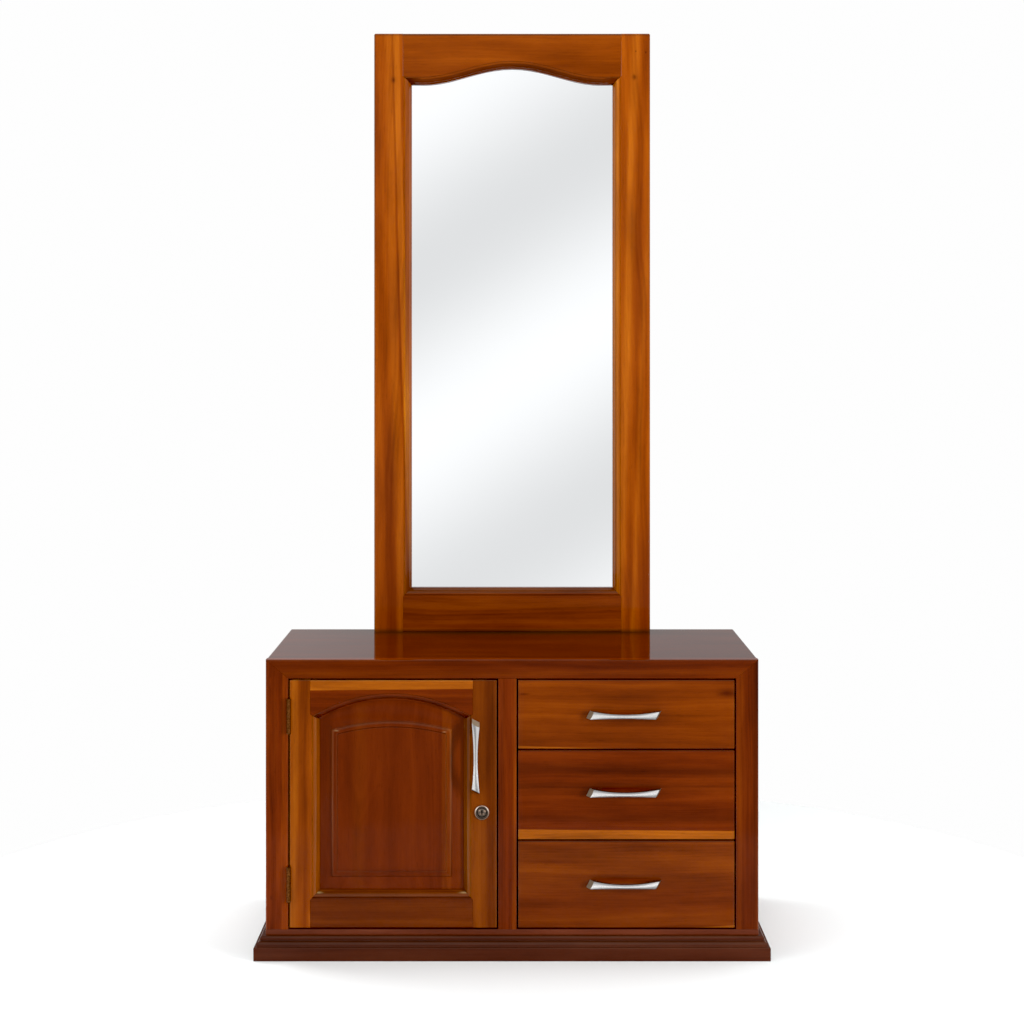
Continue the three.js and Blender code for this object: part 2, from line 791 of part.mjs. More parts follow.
function buildDrawers() {
  const drawers = new THREE.Group();
  const topLow = openingTop - revealGap - topDrawerHeight;
  const middleLow = topLow - revealGap - middleDrawerHeight;
  const rows = [
    ['top_drawer', topLow, openingTop - revealGap, topPullRise],
    ['middle_drawer', middleLow, topLow - revealGap, middlePullRise],
    ['bottom_drawer', bottomBoardTop + revealGap, middleLow - revealGap, bottomPullRise],
  ];
  for (const row of rows) drawers.add(buildDrawer(...row), buildRunners(...row));
  return drawers;
}

// Mirror: a moulded frame that stands on the top, with the glass and its backboard in a rebate

function buildMirror() {
  const mirror = new THREE.Group();
  const sightHalf = mirrorHalf - mirrorStileWidth - mirrorJointWidth;
  const sightBottom = caseHeight + mirrorBottomRailWidth;
  const springing = mirrorTop - mirrorTopRailWidth;
  const sight = swelledOutline(-sightHalf, sightHalf, sightBottom, springing);
  const outlines = framedOutlines(-mirrorHalf, mirrorHalf, caseHeight, mirrorTop, sight, mirrorJointWidth);
  const stations = mouldStations(
    mirrorMouldWidth, mirrorMouldQuirk, mirrorMouldRadius, mirrorMouldFillet, mirrorThickness,
  );
  const opening = mouldedOpening(sight, stations, mirrorFront);
  const rebateLow = sightBottom - mirrorRebateWidth;
  const rebateHigh = springing + mirrorArchRise + mirrorRebateWidth;
  const rebateHalf = sightHalf + mirrorRebateWidth;
  const rebate = board(
    -rebateHalf, rebateHalf, glassFront, caseDepth + overrun, rebateLow, rebateHigh,
  );
  const member = (outline) => cut(slab(outline, mirrorFront, caseDepth), opening, rebate);
  const pane = (front, back) => board(
    jointGap - rebateHalf, rebateHalf - jointGap, front, back, rebateLow + jointGap, rebateHigh - jointGap,
  );
  mirror.add(
    named('mirror_left_stile', member(outlines.leftStile), amber),
    named('mirror_right_stile', member(outlines.rightStile), amber),
    named('mirror_top_rail', member(outlines.topRail), amber),
    named('mirror_bottom_rail', member(outlines.bottomRail), orangeBrown),
    named('mirror_glass', pane(glassFront, glassBack), silvered),
    named('mirror_backboard', pane(glassBack, glassBack + backboardThickness), plyBack),
    named('mirror_batten', board(
      -battenWidth / 2, battenWidth / 2, caseDepth, hindmost, caseHeight - battenDrop, caseHeight + battenLap,
    ), paleWood),
  );
  return mirror;
}

const group = new THREE.Group();
group.add(buildCarcass(), buildFaceFrame(), buildPlinth(), buildDoor(), buildLock());
group.add(buildHinge('upper_hinge', doorTop - upperHingeDrop - hingeHeight));
group.add(buildHinge('lower_hinge', doorBottom + lowerHingeRise));
group.add(buildDrawers(), buildMirror());
group.position.y = -(foremost + hindmost) / 2;

export default group;
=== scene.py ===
"""Dresses a dresser with mirror in varnished wood, silvered glass and metal fittings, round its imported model.

Places are in metres in the model's own frame: +X to the right, +Y to the back, +Z up, floor at zero.
"""

import json
import math
from collections import namedtuple

import bmesh
import bpy
from bpy.props import FloatProperty, FloatVectorProperty, IntProperty, PointerProperty
from bpy.types import Operator, Panel, PropertyGroup
from mathutils import Matrix, Vector


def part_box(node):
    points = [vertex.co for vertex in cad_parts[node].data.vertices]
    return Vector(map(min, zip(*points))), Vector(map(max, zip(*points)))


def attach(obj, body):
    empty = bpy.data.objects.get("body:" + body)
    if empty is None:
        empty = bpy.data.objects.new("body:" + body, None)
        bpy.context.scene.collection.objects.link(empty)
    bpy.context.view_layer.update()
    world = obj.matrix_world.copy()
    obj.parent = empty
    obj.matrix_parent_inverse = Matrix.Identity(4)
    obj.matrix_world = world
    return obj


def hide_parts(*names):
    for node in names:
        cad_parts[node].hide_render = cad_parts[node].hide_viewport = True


bl_info = {
    "name": "Dresser with Mirror",
    "version": (1, 0, 0),
    "blender": (4, 5, 0),
    "location": "3D View > Sidebar > Dresser",
    "description": "Builds the wood, glass, pulls, lock, hinges and screws of a dresser with a mirror",
    "category": "Add Mesh",
}

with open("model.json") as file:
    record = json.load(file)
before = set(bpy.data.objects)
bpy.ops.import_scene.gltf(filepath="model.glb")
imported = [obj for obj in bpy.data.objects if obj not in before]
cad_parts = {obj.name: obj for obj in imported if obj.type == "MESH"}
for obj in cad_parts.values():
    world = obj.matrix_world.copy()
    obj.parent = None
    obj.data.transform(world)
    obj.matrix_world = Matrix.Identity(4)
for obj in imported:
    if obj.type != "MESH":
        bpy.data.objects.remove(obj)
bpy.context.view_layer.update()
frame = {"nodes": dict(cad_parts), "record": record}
NODES = frame["nodes"]
BODIES = frame["record"]["behaviour"]["bodies"]
BODY_OF = {member: body for body, members in BODIES.items() for member in members}
DRAWERS = ("top_drawer", "middle_drawer", "bottom_drawer")
MM = 0.001

# Settings that a user may change


def number(name, description, default, **limits):
    return FloatProperty(name=name, description=description, default=default, **limits)


def length(*about):
    return number(*about, min=0.0, subtype="DISTANCE", unit="LENGTH")


def share(*about):
    return number(*about, min=0.0, max=1.0, subtype="FACTOR")


def triple(name, description, default, **limits):
    return FloatVectorProperty(name=name, description=description, default=default, size=3, min=0.0, **limits)


def colour(*about):
    return triple(*about, max=1.0, subtype="COLOR")


def glow(*about):
    return triple(*about, max=4.0)


class DresserWood(PropertyGroup):
    """Colours of the woods, the gloss of their varnish, and the painted light and shade on their mouldings"""

    case: colour("Case", "Red-brown heartwood of the case and the door panel", (0.150, 0.0200, 0.0012))
    top: colour("Top", "Darker red-brown of the case top", (0.075, 0.0105, 0.0012))
    # Amber and orange also paint light on the door panel's right margin and the field's right slope
    amber: colour("Amber", "Amber wood of the door and mirror stiles", (0.292, 0.056, 0.0020))
    orange: colour("Orange", "Orange-brown wood of the drawers and rails", (0.185, 0.031, 0.0015))
    plinth: colour("Plinth", "Dark red-brown of the plinth", (0.064, 0.0140, 0.0058))
    # Sapwood also paints light on square edges in the gaps
    sapwood: colour("Sapwood", "Light strips along some of the boards", (0.440, 0.112, 0.0060))
    # Heart streaks also paint shade on the door panel's left margin and along the field's lower step
    heart: colour("Heart streaks", "Dark streaks and knots", (0.060, 0.0075, 0.0006))
    # Painted shade: a contact shadow on the top in front of the mirror's foot, and dark lines along the mirror
    # frame's foot and top edge
    wax: colour("Wax", "Dark wax gathered where two pieces meet", (0.016, 0.0095, 0.0040))
    # Bare wood also paints small glints at the corners of mouldings
    bare: colour("Bare wood", "Sanded wood inside the drawers", (0.600, 0.375, 0.175))
    ply: colour("Plywood", "Thin backs and drawer bottoms", (0.450, 0.250, 0.105))
    varnish_roughness: share("Varnish roughness", "Roughness of the varnish", 0.07)
    varnish_index: number("Varnish index", "Refractive index of the varnish on flat faces", 1.20, min=1.0)
    edge_index: number("Edge index", "Refractive index of the varnish built up on mouldings", 1.33, min=1.0)
    # Painted light and shade on mouldings, by the way each face looks
    right_glow: glow("Right glow", "How much lighter a moulding is facing right", (1.12, 1.45, 1.50))
    left_glow: glow("Left glow", "How much lighter a moulding is facing left", (1.55, 2.15, 1.90))
    upper_glow: glow("Upper glow", "How much lighter a moulding is facing up", (0.93, 1.18, 1.20))
    lower_glow: glow("Lower glow", "How much darker a moulding is facing down", (0.64, 0.60, 0.55))


class DresserEdges(PropertyGroup):
    """How far the edges of the boards are eased"""

    frame: length("Face frame", "Radius on the frame's opening and the case", 0.0010)
    leaf: length("Door and drawers", "Radius round the door and the drawer fronts", 0.0018)
    mirror: length("Mirror frame", "Radius round the mirror frame", 0.0032)
    plinth: length("Plinth", "Radius along the plinth's arrises", 0.0006)
    field: length("Panel field", "Radius round the raised field of the door panel", 0.0006)
    inner: length("Drawer boxes", "Radius on drawer sides, runners and the batten", 0.0008)
    steps: IntProperty(name="Steps", description="Segments of each eased edge", default=3, min=1, max=8)


class DresserPulls(PropertyGroup):
    """Sizes and finish of the bow pulls"""

    length: length("Length", "Length of the feet", 0.1325)
    face_length: length("Face length", "Length along the front of the bow", 0.120)
    face_shift: length("Face shift", "How far the front stands towards its right or lower end", 0.0010)
    projection: length("Projection", "How far the middle stands out", 0.027)
    end_projection: length("End projection", "How far the ends stand out", 0.016)
    thickness: length("Thickness", "Thickness of the bar in the middle", 0.007)
    middle_height: length("Middle height", "Height of the waist", 0.0072)
    end_height: length("End height", "Height of the ends", 0.014)
    crown: length("Crown", "How far the front is rounded", 0.0016)
    slant: share("Slant", "How far the ends lean", 0.5)
    foot: share("Foot", "Where the hollow behind the bow ends", 0.78)
    rounding: length("Rounding", "Radius on the bar's edges", 0.0007)
    screw_spread: length("Screw spread", "Distance between the two fixing screws", 0.096)
    metal: colour("Metal", "Satin silver", (0.80, 0.785, 0.785))
    roughness: share("Roughness", "Roughness of the satin finish", 0.26)


class DresserFittings(PropertyGroup):
    """Finish of the lock, hinges and screws"""

    # Painted light on the lock: glint paints the ring's bright shoulders and chrome paints the plug's glints;
    # chrome and plug are dark partly as the metal's own tone and partly as a painted reflection of dark
    # surroundings
    chrome: colour("Chrome", "Polished metal of the lock's ring", (0.40, 0.27, 0.20))
    glint: colour("Glint", "Bright shoulders of the ring", (0.95, 0.80, 0.68))
    plug: colour("Plug", "Worn face of the plug", (0.115, 0.092, 0.074))
    bronze: colour("Bronze", "Aged metal of the hinges", (0.140, 0.053, 0.017))
    steel: colour("Steel", "Zinc-plated screws", (0.48, 0.47, 0.45))
    screw_radius: length("Screw radius", "Radius of the screw heads", 0.0034)
    screw_height: length("Screw height", "How far a pan head stands out", 0.0016)
    flush_height: length("Flush height", "How far a countersunk head stands out", 0.00015)


class DresserStudio(PropertyGroup):
    """Camera and floor"""

    eye_height: length("Eye height", "Height of the camera", 1.1058)
    eye_side: length("Eye side", "How far the camera stands to the right", 0.0011)
    camera_distance: length("Camera distance", "From the camera to the front of the case", 3.563)
    lens: number("Lens", "Focal length in millimetres", 67.57, min=1.0)
    floor_radius: length("Floor radius", "Radius of the floor disc", 1.25)
    floor_tone: colour("Floor", "Pale floor", (0.880, 0.905, 0.907))


class DresserSettings(PropertyGroup):
    """All settings of the dresser"""

    wood: PointerProperty(type=DresserWood)
    edges: PointerProperty(type=DresserEdges)
    pulls: PointerProperty(type=DresserPulls)
    fittings: PointerProperty(type=DresserFittings)
    studio: PointerProperty(type=DresserStudio)


# Small helpers for node trees

WHITE = (1.0, 1.0, 1.0, 1.0)
MIX_FACTOR, MIX_FIRST, MIX_SECOND, MIX_RESULT = 0, 6, 7, 2
PATTERN_RANGE = (0.3, 0.7)


class Wire:
    """A value in a node tree. Sums with wires, numbers and vectors add the Math nodes that work them out."""

    def __init__(self, socket):
        self.socket = socket
        self.tree = socket.id_data

    def math(self, operation, *others):
        """A Math node, or a Vector Math node where a value is a vector or a colour."""
        values = (self, *others)
        kind = "ShaderNodeMath"
        if any(v.socket.type != "VALUE" if isinstance(v, Wire) else isinstance(v, tuple) for v in values):
            kind = "ShaderNodeVectorMath"
            values = [v if isinstance(v, (Wire, tuple)) else (v, v, v) for v in values]
        return node(self.tree, kind, dict(enumerate(values)), operation=operation)

    def __add__(self, other):
        return self.math("ADD", other)

    def __sub__(self, other):
        return self.math("SUBTRACT", other)

    def __rsub__(self, other):
        return self * -1.0 + other

    def __mul__(self, other):
        return self.math("MULTIPLY", other)

    def __truediv__(self, other):
        return self.math("DIVIDE", other)

    def __abs__(self):
        return self.math("ABSOLUTE")


def node(tree, kind, values=None, output=0, **settings):
    """Adds a node, sets or joins its inputs, and gives back the wire from one output."""
    made = tree.nodes.new(kind)
    for key, value in settings.items():
        setattr(made, key, value)
    for key, value in (values or {}).items():
        if isinstance(value, Wire):
            tree.links.new(value.socket, made.inputs[key])
        else:
            made.inputs[key].default_value = value
    return Wire(made.outputs[output]) if made.outputs else None


def parts(vector):
    """The X, Y and Z of a vector."""
    made = node(vector.tree, "ShaderNodeSeparateXYZ", {0: vector})
    return [Wire(socket) for socket in made.socket.node.outputs]


def object_place(tree):
    """The place of a point on its piece."""
    return node(tree, "ShaderNodeTexCoord", output="Object")


def object_normal(tree):
    """Which way a face of a piece looks, as X, Y and Z."""
    return parts(node(tree, "ShaderNodeTexCoord", output="Normal"))


def remapped(value, low, high, new_low=0.0, new_high=1.0, kind="SMOOTHSTEP"):
    """A value moved from one range to another, with a soft start and end unless it is to be straight."""
    values = {"Value": value, "From Min": low, "From Max": high, "To Min": new_low, "To Max": new_high}
    return node(value.tree, "ShaderNodeMapRange", values, interpolation_type=kind)


def noise(place, detail=2.0, roughness=0.5, output="Fac"):
    """Soft noise along a line, or through space where the place is a vector."""
    flat = place.socket.type == "VALUE"
    values = {"W" if flat else "Vector": place, "Scale": 1.0, "Detail": detail, "Roughness": roughness}
    return node(place.tree, "ShaderNodeTexNoise", values, output, noise_dimensions="1D" if flat else "3D")


def gloss(pattern, low, high):
    """A roughness that follows a pattern."""
    return remapped(pattern, *PATTERN_RANGE, low, high, "LINEAR")


def mixed(factor, first, second):
    """A colour between two, the second where the factor is one."""
    values = {MIX_FACTOR: factor, MIX_FIRST: first, MIX_SECOND: second}
    return node(factor.tree, "ShaderNodeMix", values, MIX_RESULT, data_type="RGBA")


def bumped(height, strength, distance):
    """A normal that follows a height."""
    return node(height.tree, "ShaderNodeBump", {"Strength": strength, "Distance": distance, "Height": height})


def opaque(tone, factors=(1.0, 1.0, 1.0)):
    """A colour with its channels scaled, as four numbers."""
    return (*(min(1.0, channel * factor) for channel, factor in zip(tone, factors)), 1.0)


def empty_material(name):
    """A new material and its node tree."""
    material = bpy.data.materials.new(name)
    material.use_nodes = True
    material.node_tree.nodes.clear()
    return material, material.node_tree


def finished(material, values):
    """A material with a Principled shader of these values."""
    tree = material.node_tree
    node(tree, "ShaderNodeOutputMaterial", {"Surface": node(tree, "ShaderNodeBsdfPrincipled", values)})
    return material


# Wood

# How fast each pattern changes along, across and through a board, per metre
WARP_RATE = (1.9, 8.0, 8.0)
PATCH_RATE = (4.0, 24.0, 24.0)
FIBRE_RATE = (10.0, 520.0, 520.0)
PORE_RATE = (55.0, 1500.0, 1500.0)
RIPPLE_RATE = (9.0, 9.0, 9.0)
FINE_RINGS = 5.0
FINE_SHARE = 0.28
PORE_RANGE = (0.60, 0.72)

# A band that runs along a board, as a streak in the wood or as a painted strip of light or shade: where
# its middle lies across it, half its width and how soft its edges are, all in millimetres, how strong it
# is, the wood colour that it takes, and how its middle drifts
BandOrPaintedStrip = namedtuple("BandOrPaintedStrip", "middle half soft strength tone drift", defaults=(0.0,))

# A knot or a patch in the wood, or a painted shadow or glint: its place along and across the board and its
# half sizes, in millimetres, how strong it is, the wood colour that it takes, and how many millimetres it
# pushes the rings
Knot = namedtuple("Knot", "along across half_along half_across strength tone push", defaults=("heart", 0.0))

# A board: wood colour and how light the board is against it, the axes that run along, across and
# through it, where its pith lies across and through it, how the pith leans, streaks per metre, how far
# the grain wanders, contrast, a seed, its bands and knots, the painted light (above one) or painted shade
# (below one) on its eased edges and on its mouldings, the painted light on its square edges in the gaps,
# and how much varnish it carries
Board = namedtuple(
    "Board",
    "tone shade axes pith lean density wander contrast seed marks edge mould rim varnish",
    defaults=((), 1.0, 1.0, 0.0, 1.0),
)

FRONT, UPRIGHT, LEVEL, SIDE, DEEP = "XZY", "ZXY", "XYZ", "ZYX", "YZX"

BOARDS = {
    "cabinet_top": Board("top", 0.77, LEVEL, (0.55, 0.45), (0.02, 0.0), 45, 0.05, 0.8, 1.1, (
        # Painted shadow on the top in front of the mirror's foot
        Knot(0, 172.5, 330, 58, 0.9, "wax"),
    )),
    "left_side_panel": Board("case", 1.0, SIDE, (0.42, -0.62), (0.02, 0.0), 50, 0.06, 1.0, 2.3),
    "right_side_panel": Board("case", 1.0, SIDE, (-0.35, 0.6), (-0.02, 0.0), 50, 0.06, 1.0, 3.7),
    # Plinth colour made 1.85 times lighter: partly the strip's own tone, partly a painted reflection of the
    # pale floor in it
    "bottom_board": Board("plinth", 1.85, LEVEL, (0.4, -0.2), (0.0, 0.0), 60, 0.04, 0.8, 4.2),
    "frame_left_stile": Board("case", 0.92, UPRIGHT, (-0.53, -0.1), (0.012, 0.0), 85, 0.03, 1.1, 5.9, (
        BandOrPaintedStrip(-418.5, 2.2, 3.5, 0.15, "amber", 0.004), BandOrPaintedStrip(-426.5, 2.2, 3.5, 0.3, "amber", 0.004),
        BandOrPaintedStrip(-438.5, 4, 6, 0.35, "heart", -0.01), Knot(512, -449, 8, 3.5, 0.0, push=4),
        Knot(112, -446, 4, 3, 0.5, push=2),
    ), edge=0.6, rim=0.3),
    "frame_right_stile": Board("case", 0.64, UPRIGHT, (0.62, -0.13), (0.01, 0.0), 70, 0.03, 1.1, 6.4, (
        BandOrPaintedStrip(451.5, 3, 6, 0.5, "heart"), BandOrPaintedStrip(422, 4, 7, 0.2, "amber"),
    ), edge=0.6, rim=0.3),
    "frame_top_rail": Board("case", 0.65, FRONT, (0.64, -0.13), (0.004, 0.0), 75, 0.03, 0.9, 7.8, (
        BandOrPaintedStrip(527, 2, 6, 0.25, "amber", 0.004), Knot(405, 541, 10, 2, 0.7, push=2),
    ), rim=0.3),
    "frame_centre_mullion": Board("case", 0.82, UPRIGHT, (0.1, -0.12), (0.01, 0.0), 80, 0.03, 1.1, 8.1, (
        BandOrPaintedStrip(4.5, 2.2, 4, 0.5, "amber", 0.004), BandOrPaintedStrip(-18, 3, 5, 0.3, "heart"),
    ), edge=0.55, rim=0.3),
    "plinth_front": Board("plinth", 0.88, FRONT, (0.2, -0.3), (0.01, 0.0), 60, 0.04, 0.7, 9.6),
    "plinth_left": Board("plinth", 0.88, DEEP, (0.2, -0.6), (0.01, 0.0), 60, 0.04, 0.7, 10.2, varnish=0.4),
    "plinth_right": Board("plinth", 0.88, DEEP, (0.2, 0.6), (0.01, 0.0), 60, 0.04, 0.7, 11.7, varnish=0.4),
    "plinth_back": Board("bare", 1.0, FRONT, (0.2, 0.3), (0.01, 0.0), 60, 0.04, 0.7, 12.4, varnish=0.0),
    "door_hinge_stile": Board("amber", 0.7, UPRIGHT, (-0.52, -0.12), (0.012, 0.0), 60, 0.03, 0.9, 13.3, (
        BandOrPaintedStrip(-406.5, 6, 4, 0.55, "sapwood", 0.006), BandOrPaintedStrip(-383, 4, 6, 0.35, "case", -0.008),
        BandOrPaintedStrip(-361, 7.2, 0.6, 0.55, "orange"), Knot(72, -374, 14, 3.5, 0.45, "sapwood"),
    ), edge=0.85, rim=0.15),
    "door_lock_stile": Board("amber", 0.47, UPRIGHT, (-0.16, -0.13), (-0.01, 0.0), 55, 0.03, 0.9, 14.8, (
        BandOrPaintedStrip(-39.5, 5, 7, 0.45, "case", -0.004), BandOrPaintedStrip(-86.2, 7.2, 0.6, 0.55, "case"),
        Knot(362, -70, 60, 11, 0.0, push=16),
    ), edge=0.85, rim=0.15),
    "door_top_rail": Board("case", 0.82, FRONT, (0.62, -0.12), (0.004, 0.0), 60, 0.03, 0.9, 15.5, (
        BandOrPaintedStrip(511.5, 13, 1.2, 0.76, "sapwood", 0.004), BandOrPaintedStrip(484, 2, 6, 0.25, "orange"),
    ), edge=0.85),
    "door_bottom_rail": Board("orange", 0.54, FRONT, (0.18, -0.12), (-0.01, 0.0), 60, 0.03, 0.9, 16.1, (
        BandOrPaintedStrip(113, 3, 6, 0.35, "case", 0.003), BandOrPaintedStrip(81, 4, 6, 0.3, "case"),
        # The two knots of bare wood are painted glints at the sticking's corners
        Knot(-358.5, 120.5, 6, 1.2, 0.28, "bare"), Knot(-88.5, 120.5, 8, 1.2, 0.28, "bare"),
    ), mould=1.4, rim=0.15),
    "door_panel": Board("case", 0.72, UPRIGHT, (-0.29, -0.05), (0.02, -0.01), 42, 0.05, 0.6, 17.4, (
        # Painted light and shade: the band at -344 darkens the panel's left margin, and those at -104 and
        # -121.5 lighten its right margin and the field's right slope, as if lit from the right
        BandOrPaintedStrip(-290, 10, 12, 0.25, "amber", 0.02), BandOrPaintedStrip(-344, 10, 3, 0.2, "heart"),
        BandOrPaintedStrip(-104, 11, 3, 0.3, "orange"), BandOrPaintedStrip(-121.5, 8.5, 2.5, 0.45, "amber"),
        # The knot at 157.5 is painted shade along the field's lower step, and the two of bare wood are painted
        # glints at the field's top corners
        Knot(304, -175.5, 1.6, 0.9, 0.0), Knot(157.5, -223.5, 7.5, 140, 0.45),
        Knot(420.5, -325.5, 1, 3.5, 0.3, "bare"), Knot(418.5, -125.5, 1, 3, 0.3, "bare"),
    )),
    "top_drawer_front": Board("orange", 0.76, FRONT, (0.6, -0.11), (0.02, 0.0), 42, 0.05, 0.9, 18.9, (
        BandOrPaintedStrip(390.5, 3.5, 1.2, 0.8, "sapwood", -0.03), BandOrPaintedStrip(462, 10, 12, 0.35, "amber", -0.02),
        Knot(399, 491, 18, 7, 0.95, push=8), Knot(21.5, 489.5, 10, 2, 0.6, push=4),
    ), edge=0.68, rim=0.3),
    "middle_drawer_front": Board("case", 0.72, FRONT, (0.46, -0.1), (0.02, 0.0), 42, 0.05, 1.0, 19.2, (
        BandOrPaintedStrip(218.6, 20, 1, 0.95, "sapwood", -0.0077), BandOrPaintedStrip(261, 4, 7, 0.45, "heart", -0.012),
        BandOrPaintedStrip(353, 6, 10, 0.55, "heart", -0.03), BandOrPaintedStrip(315, 8, 10, 0.3, "orange"),
    ), edge=0.68, rim=0.3),
    "bottom_drawer_front": Board("orange", 0.65, FRONT, (-0.06, -0.1), (0.02, 0.0), 42, 0.05, 1.0, 20.6, (
        BandOrPaintedStrip(27, 5.5, 1.2, 0.8, "sapwood", 0.07), BandOrPaintedStrip(213, 1.2, 2, 0.5, "amber", -0.004),
        BandOrPaintedStrip(185, 18, 18, 0.35, "amber", 0.01), BandOrPaintedStrip(100, 28, 20, 0.45, "case", 0.015),
        Knot(75, 179, 60, 4, 0.55, push=4), Knot(190, 151, 40, 4, 0.4, push=4),
    ), edge=0.68, rim=0.3),
    "mirror_left_stile": Board("amber", 0.98, UPRIGHT, (-0.5, 0.28), (0.03, 0.0), 45, 0.05, 0.75, 21.9, (
        BandOrPaintedStrip(-186.2, 6.3, 2, 0.65, "sapwood", -0.0294), BandOrPaintedStrip(-194.3, 1.5, 3, 0.6, "case", -0.0294),
        BandOrPaintedStrip(-216.2, 8, 5, 0.35, "sapwood", -0.0208), BandOrPaintedStrip(-224.3, 8, 5, 0.4, "case", -0.0355),
        BandOrPaintedStrip(-211.8, 6.2, 1, 0.65, "case"), Knot(1682, -243, 6, 4, 0.8, push=6),
        Knot(620, -245, 220, 35, 0.5, "case"), Knot(580, -212, 200, 9, 0.85),
        # The knots at 553 and 1774.5 are painted shade along the stile's foot and its top edge
        Knot(553, -253, 5, 200, 0.6, "wax"), Knot(1774.5, -253, 2.2, 200, 0.35, "wax"),
    ), edge=0.7),
    "mirror_right_stile": Board("amber", 0.92, UPRIGHT, (0.52, 0.27), (-0.03, 0.0), 45, 0.05, 0.75, 22.5, (
        BandOrPaintedStrip(198.5, 8, 5, 0.55, "sapwood", 0.031), BandOrPaintedStrip(218.4, 5.5, 4, 0.38, "case", 0.0317),
        BandOrPaintedStrip(223.4, 4, 4, 0.35, "sapwood", 0.0398), Knot(600, 274, 180, 14, 0.75, "case"),
        # The knots at 553 and 1774.5 are painted shade along the stile's foot and its top edge
        Knot(600, 214, 180, 9, 0.6, "case"), Knot(553, 253, 5, 200, 0.6, "wax"),
        Knot(1774.5, 253, 2.2, 200, 0.35, "wax"), Knot(1688, 250, 5, 5, 0.6, push=6),
        Knot(1741, 253.2, 1.4, 1.2, 0.9), Knot(1739, 273.5, 2.2, 1.4, 0.9),
    ), edge=0.8),
    "mirror_top_rail": Board("amber", 0.8, FRONT, (1.9, 0.26), (0.01, 0.0), 38, 0.05, 0.7, 23.1, (
        BandOrPaintedStrip(1705, 20, 20, 0.35, "orange", 0.01), BandOrPaintedStrip(1755, 8, 10, 0.25, "orange"),
        # Painted shade along the rail's top edge
        BandOrPaintedStrip(1774.5, 1, 2, 0.5, "wax"),
    ), edge=0.6, mould=0.85),
    "mirror_bottom_rail": Board("orange", 0.88, FRONT, (0.74, 0.27), (0.01, 0.0), 50, 0.05, 0.9, 24.7, (
        BandOrPaintedStrip(627, 6, 8, 0.35, "case", 0.01), BandOrPaintedStrip(564, 4, 6, 0.45, "case", -0.01),
        # Painted shadow along the rail's foot, and a painted glint at its left corner
        BandOrPaintedStrip(553, 3.5, 4, 0.6, "wax"), Knot(-215, 640, 4, 1.5, 0.6, "bare"),
    ), mould=0.68),
    "mirror_batten": Board("bare", 1.0, FRONT, (0.75, 0.3), (0.01, 0.0), 60, 0.04, 0.8, 25.3, varnish=0.0),
    "mirror_backboard": Board(
        "ply", 1.0, UPRIGHT, (0.0, 0.1), (0.0, 0.02), 40, 0.08, 0.9, 26.2, varnish=0.0,
    ),
    "back_panel": Board("ply", 1.0, FRONT, (0.28, 0.1), (0.0, 0.02), 40, 0.08, 0.9, 27.8, varnish=0.0),
    "centre_partition": Board("bare", 1.0, SIDE, (0.2, -0.1), (0.01, 0.0), 50, 0.05, 0.8, 28.4, varnish=0.0),
}

# How strongly each pattern shades the wood, and how a band's edge follows the grain
STREAK_SHARE = 0.70
PATCH_SHARE = 0.85
FIBRE_SHARE = 0.22
PORE_SHADE = 0.30
BAND_WAVE = 0.012
FULL_WAVE_SOFTNESS = 4.0
DARK_STOP, DARK_FACTORS = 0.22, (0.50, 0.44, 0.45)
LIGHT_STOP, LIGHT_FACTORS = 0.78, (1.50, 1.75, 1.8)

# Where a part of a face's normal starts to count as tilted, and where it counts in full
TILTED = (0.995, 0.93)
RIGHTWARDS = (0.10, 0.30)
LEFTWARDS = (-0.10, -0.30)
DOWNWARDS = (-0.08, -0.35)
STEEPLY_UP = (0.40, 0.75)
SQUARE = (0.35, 0.10)

# The skin of the case that the painted light in the gaps leaves alone, and the varnish on eased edges and off
# them
CASE_SKIN = 0.003
EASED_INDEX = 0.10
SATIN = (0.42, 0.55)
BARE_ROUGHNESS = 0.25
EASED = "eased"

# How strongly the grain and the flow of the varnish stand out and how high, and how deep the pores are
GRAIN_BUMP = (0.25, 0.0002)
FLOW_BUMP = (0.12, 0.002)
PORE_DEPTH = 0.6


def growth(place, along, board, swelling):
    """The streaks of a board's rings, its patches, fibres and pores, and how its grain wanders."""
    apart = place + (board.seed,) * 3
    shift = noise(apart * WARP_RATE, output="Color") - (0.5, 0.5, 0.5)
    centre = along * (0.0, *board.lean) + (0.0, *board.pith)
    spoke = (place + shift * board.wander - centre) * (0.0, 1.0, 1.0)
    reach = node(place.tree, "ShaderNodeVectorMath", {0: spoke}, "Value", operation="LENGTH") + swelling
    rings = reach * board.density + board.seed
    broad = noise(rings, 3.0, 0.55)
    streaks = broad + (noise(rings * FINE_RINGS) - broad) * FINE_SHARE
    patches, fibres = (noise(apart * rate, 3.0, 0.6) for rate in (PATCH_RATE, FIBRE_RATE))
    pores = remapped(noise(apart * PORE_RATE), *PORE_RANGE)
    return streaks, patches, fibres, pores, parts(shift)[1]


def wood_tones(value, wood_colour, shade):
    """Shades a wood colour from dark to light by a value round one half."""
    tone = [channel * shade for channel in wood_colour]
    ramp = node(value.tree, "ShaderNodeValToRGB", {"Fac": value})
    stops = ramp.socket.node.color_ramp.elements
    stops[0].position, stops[0].color = DARK_STOP, opaque(tone, DARK_FACTORS)
    stops[1].position, stops[1].color = LIGHT_STOP, opaque(tone, LIGHT_FACTORS)
    stops.new(0.5).color = opaque(tone)
    return ramp


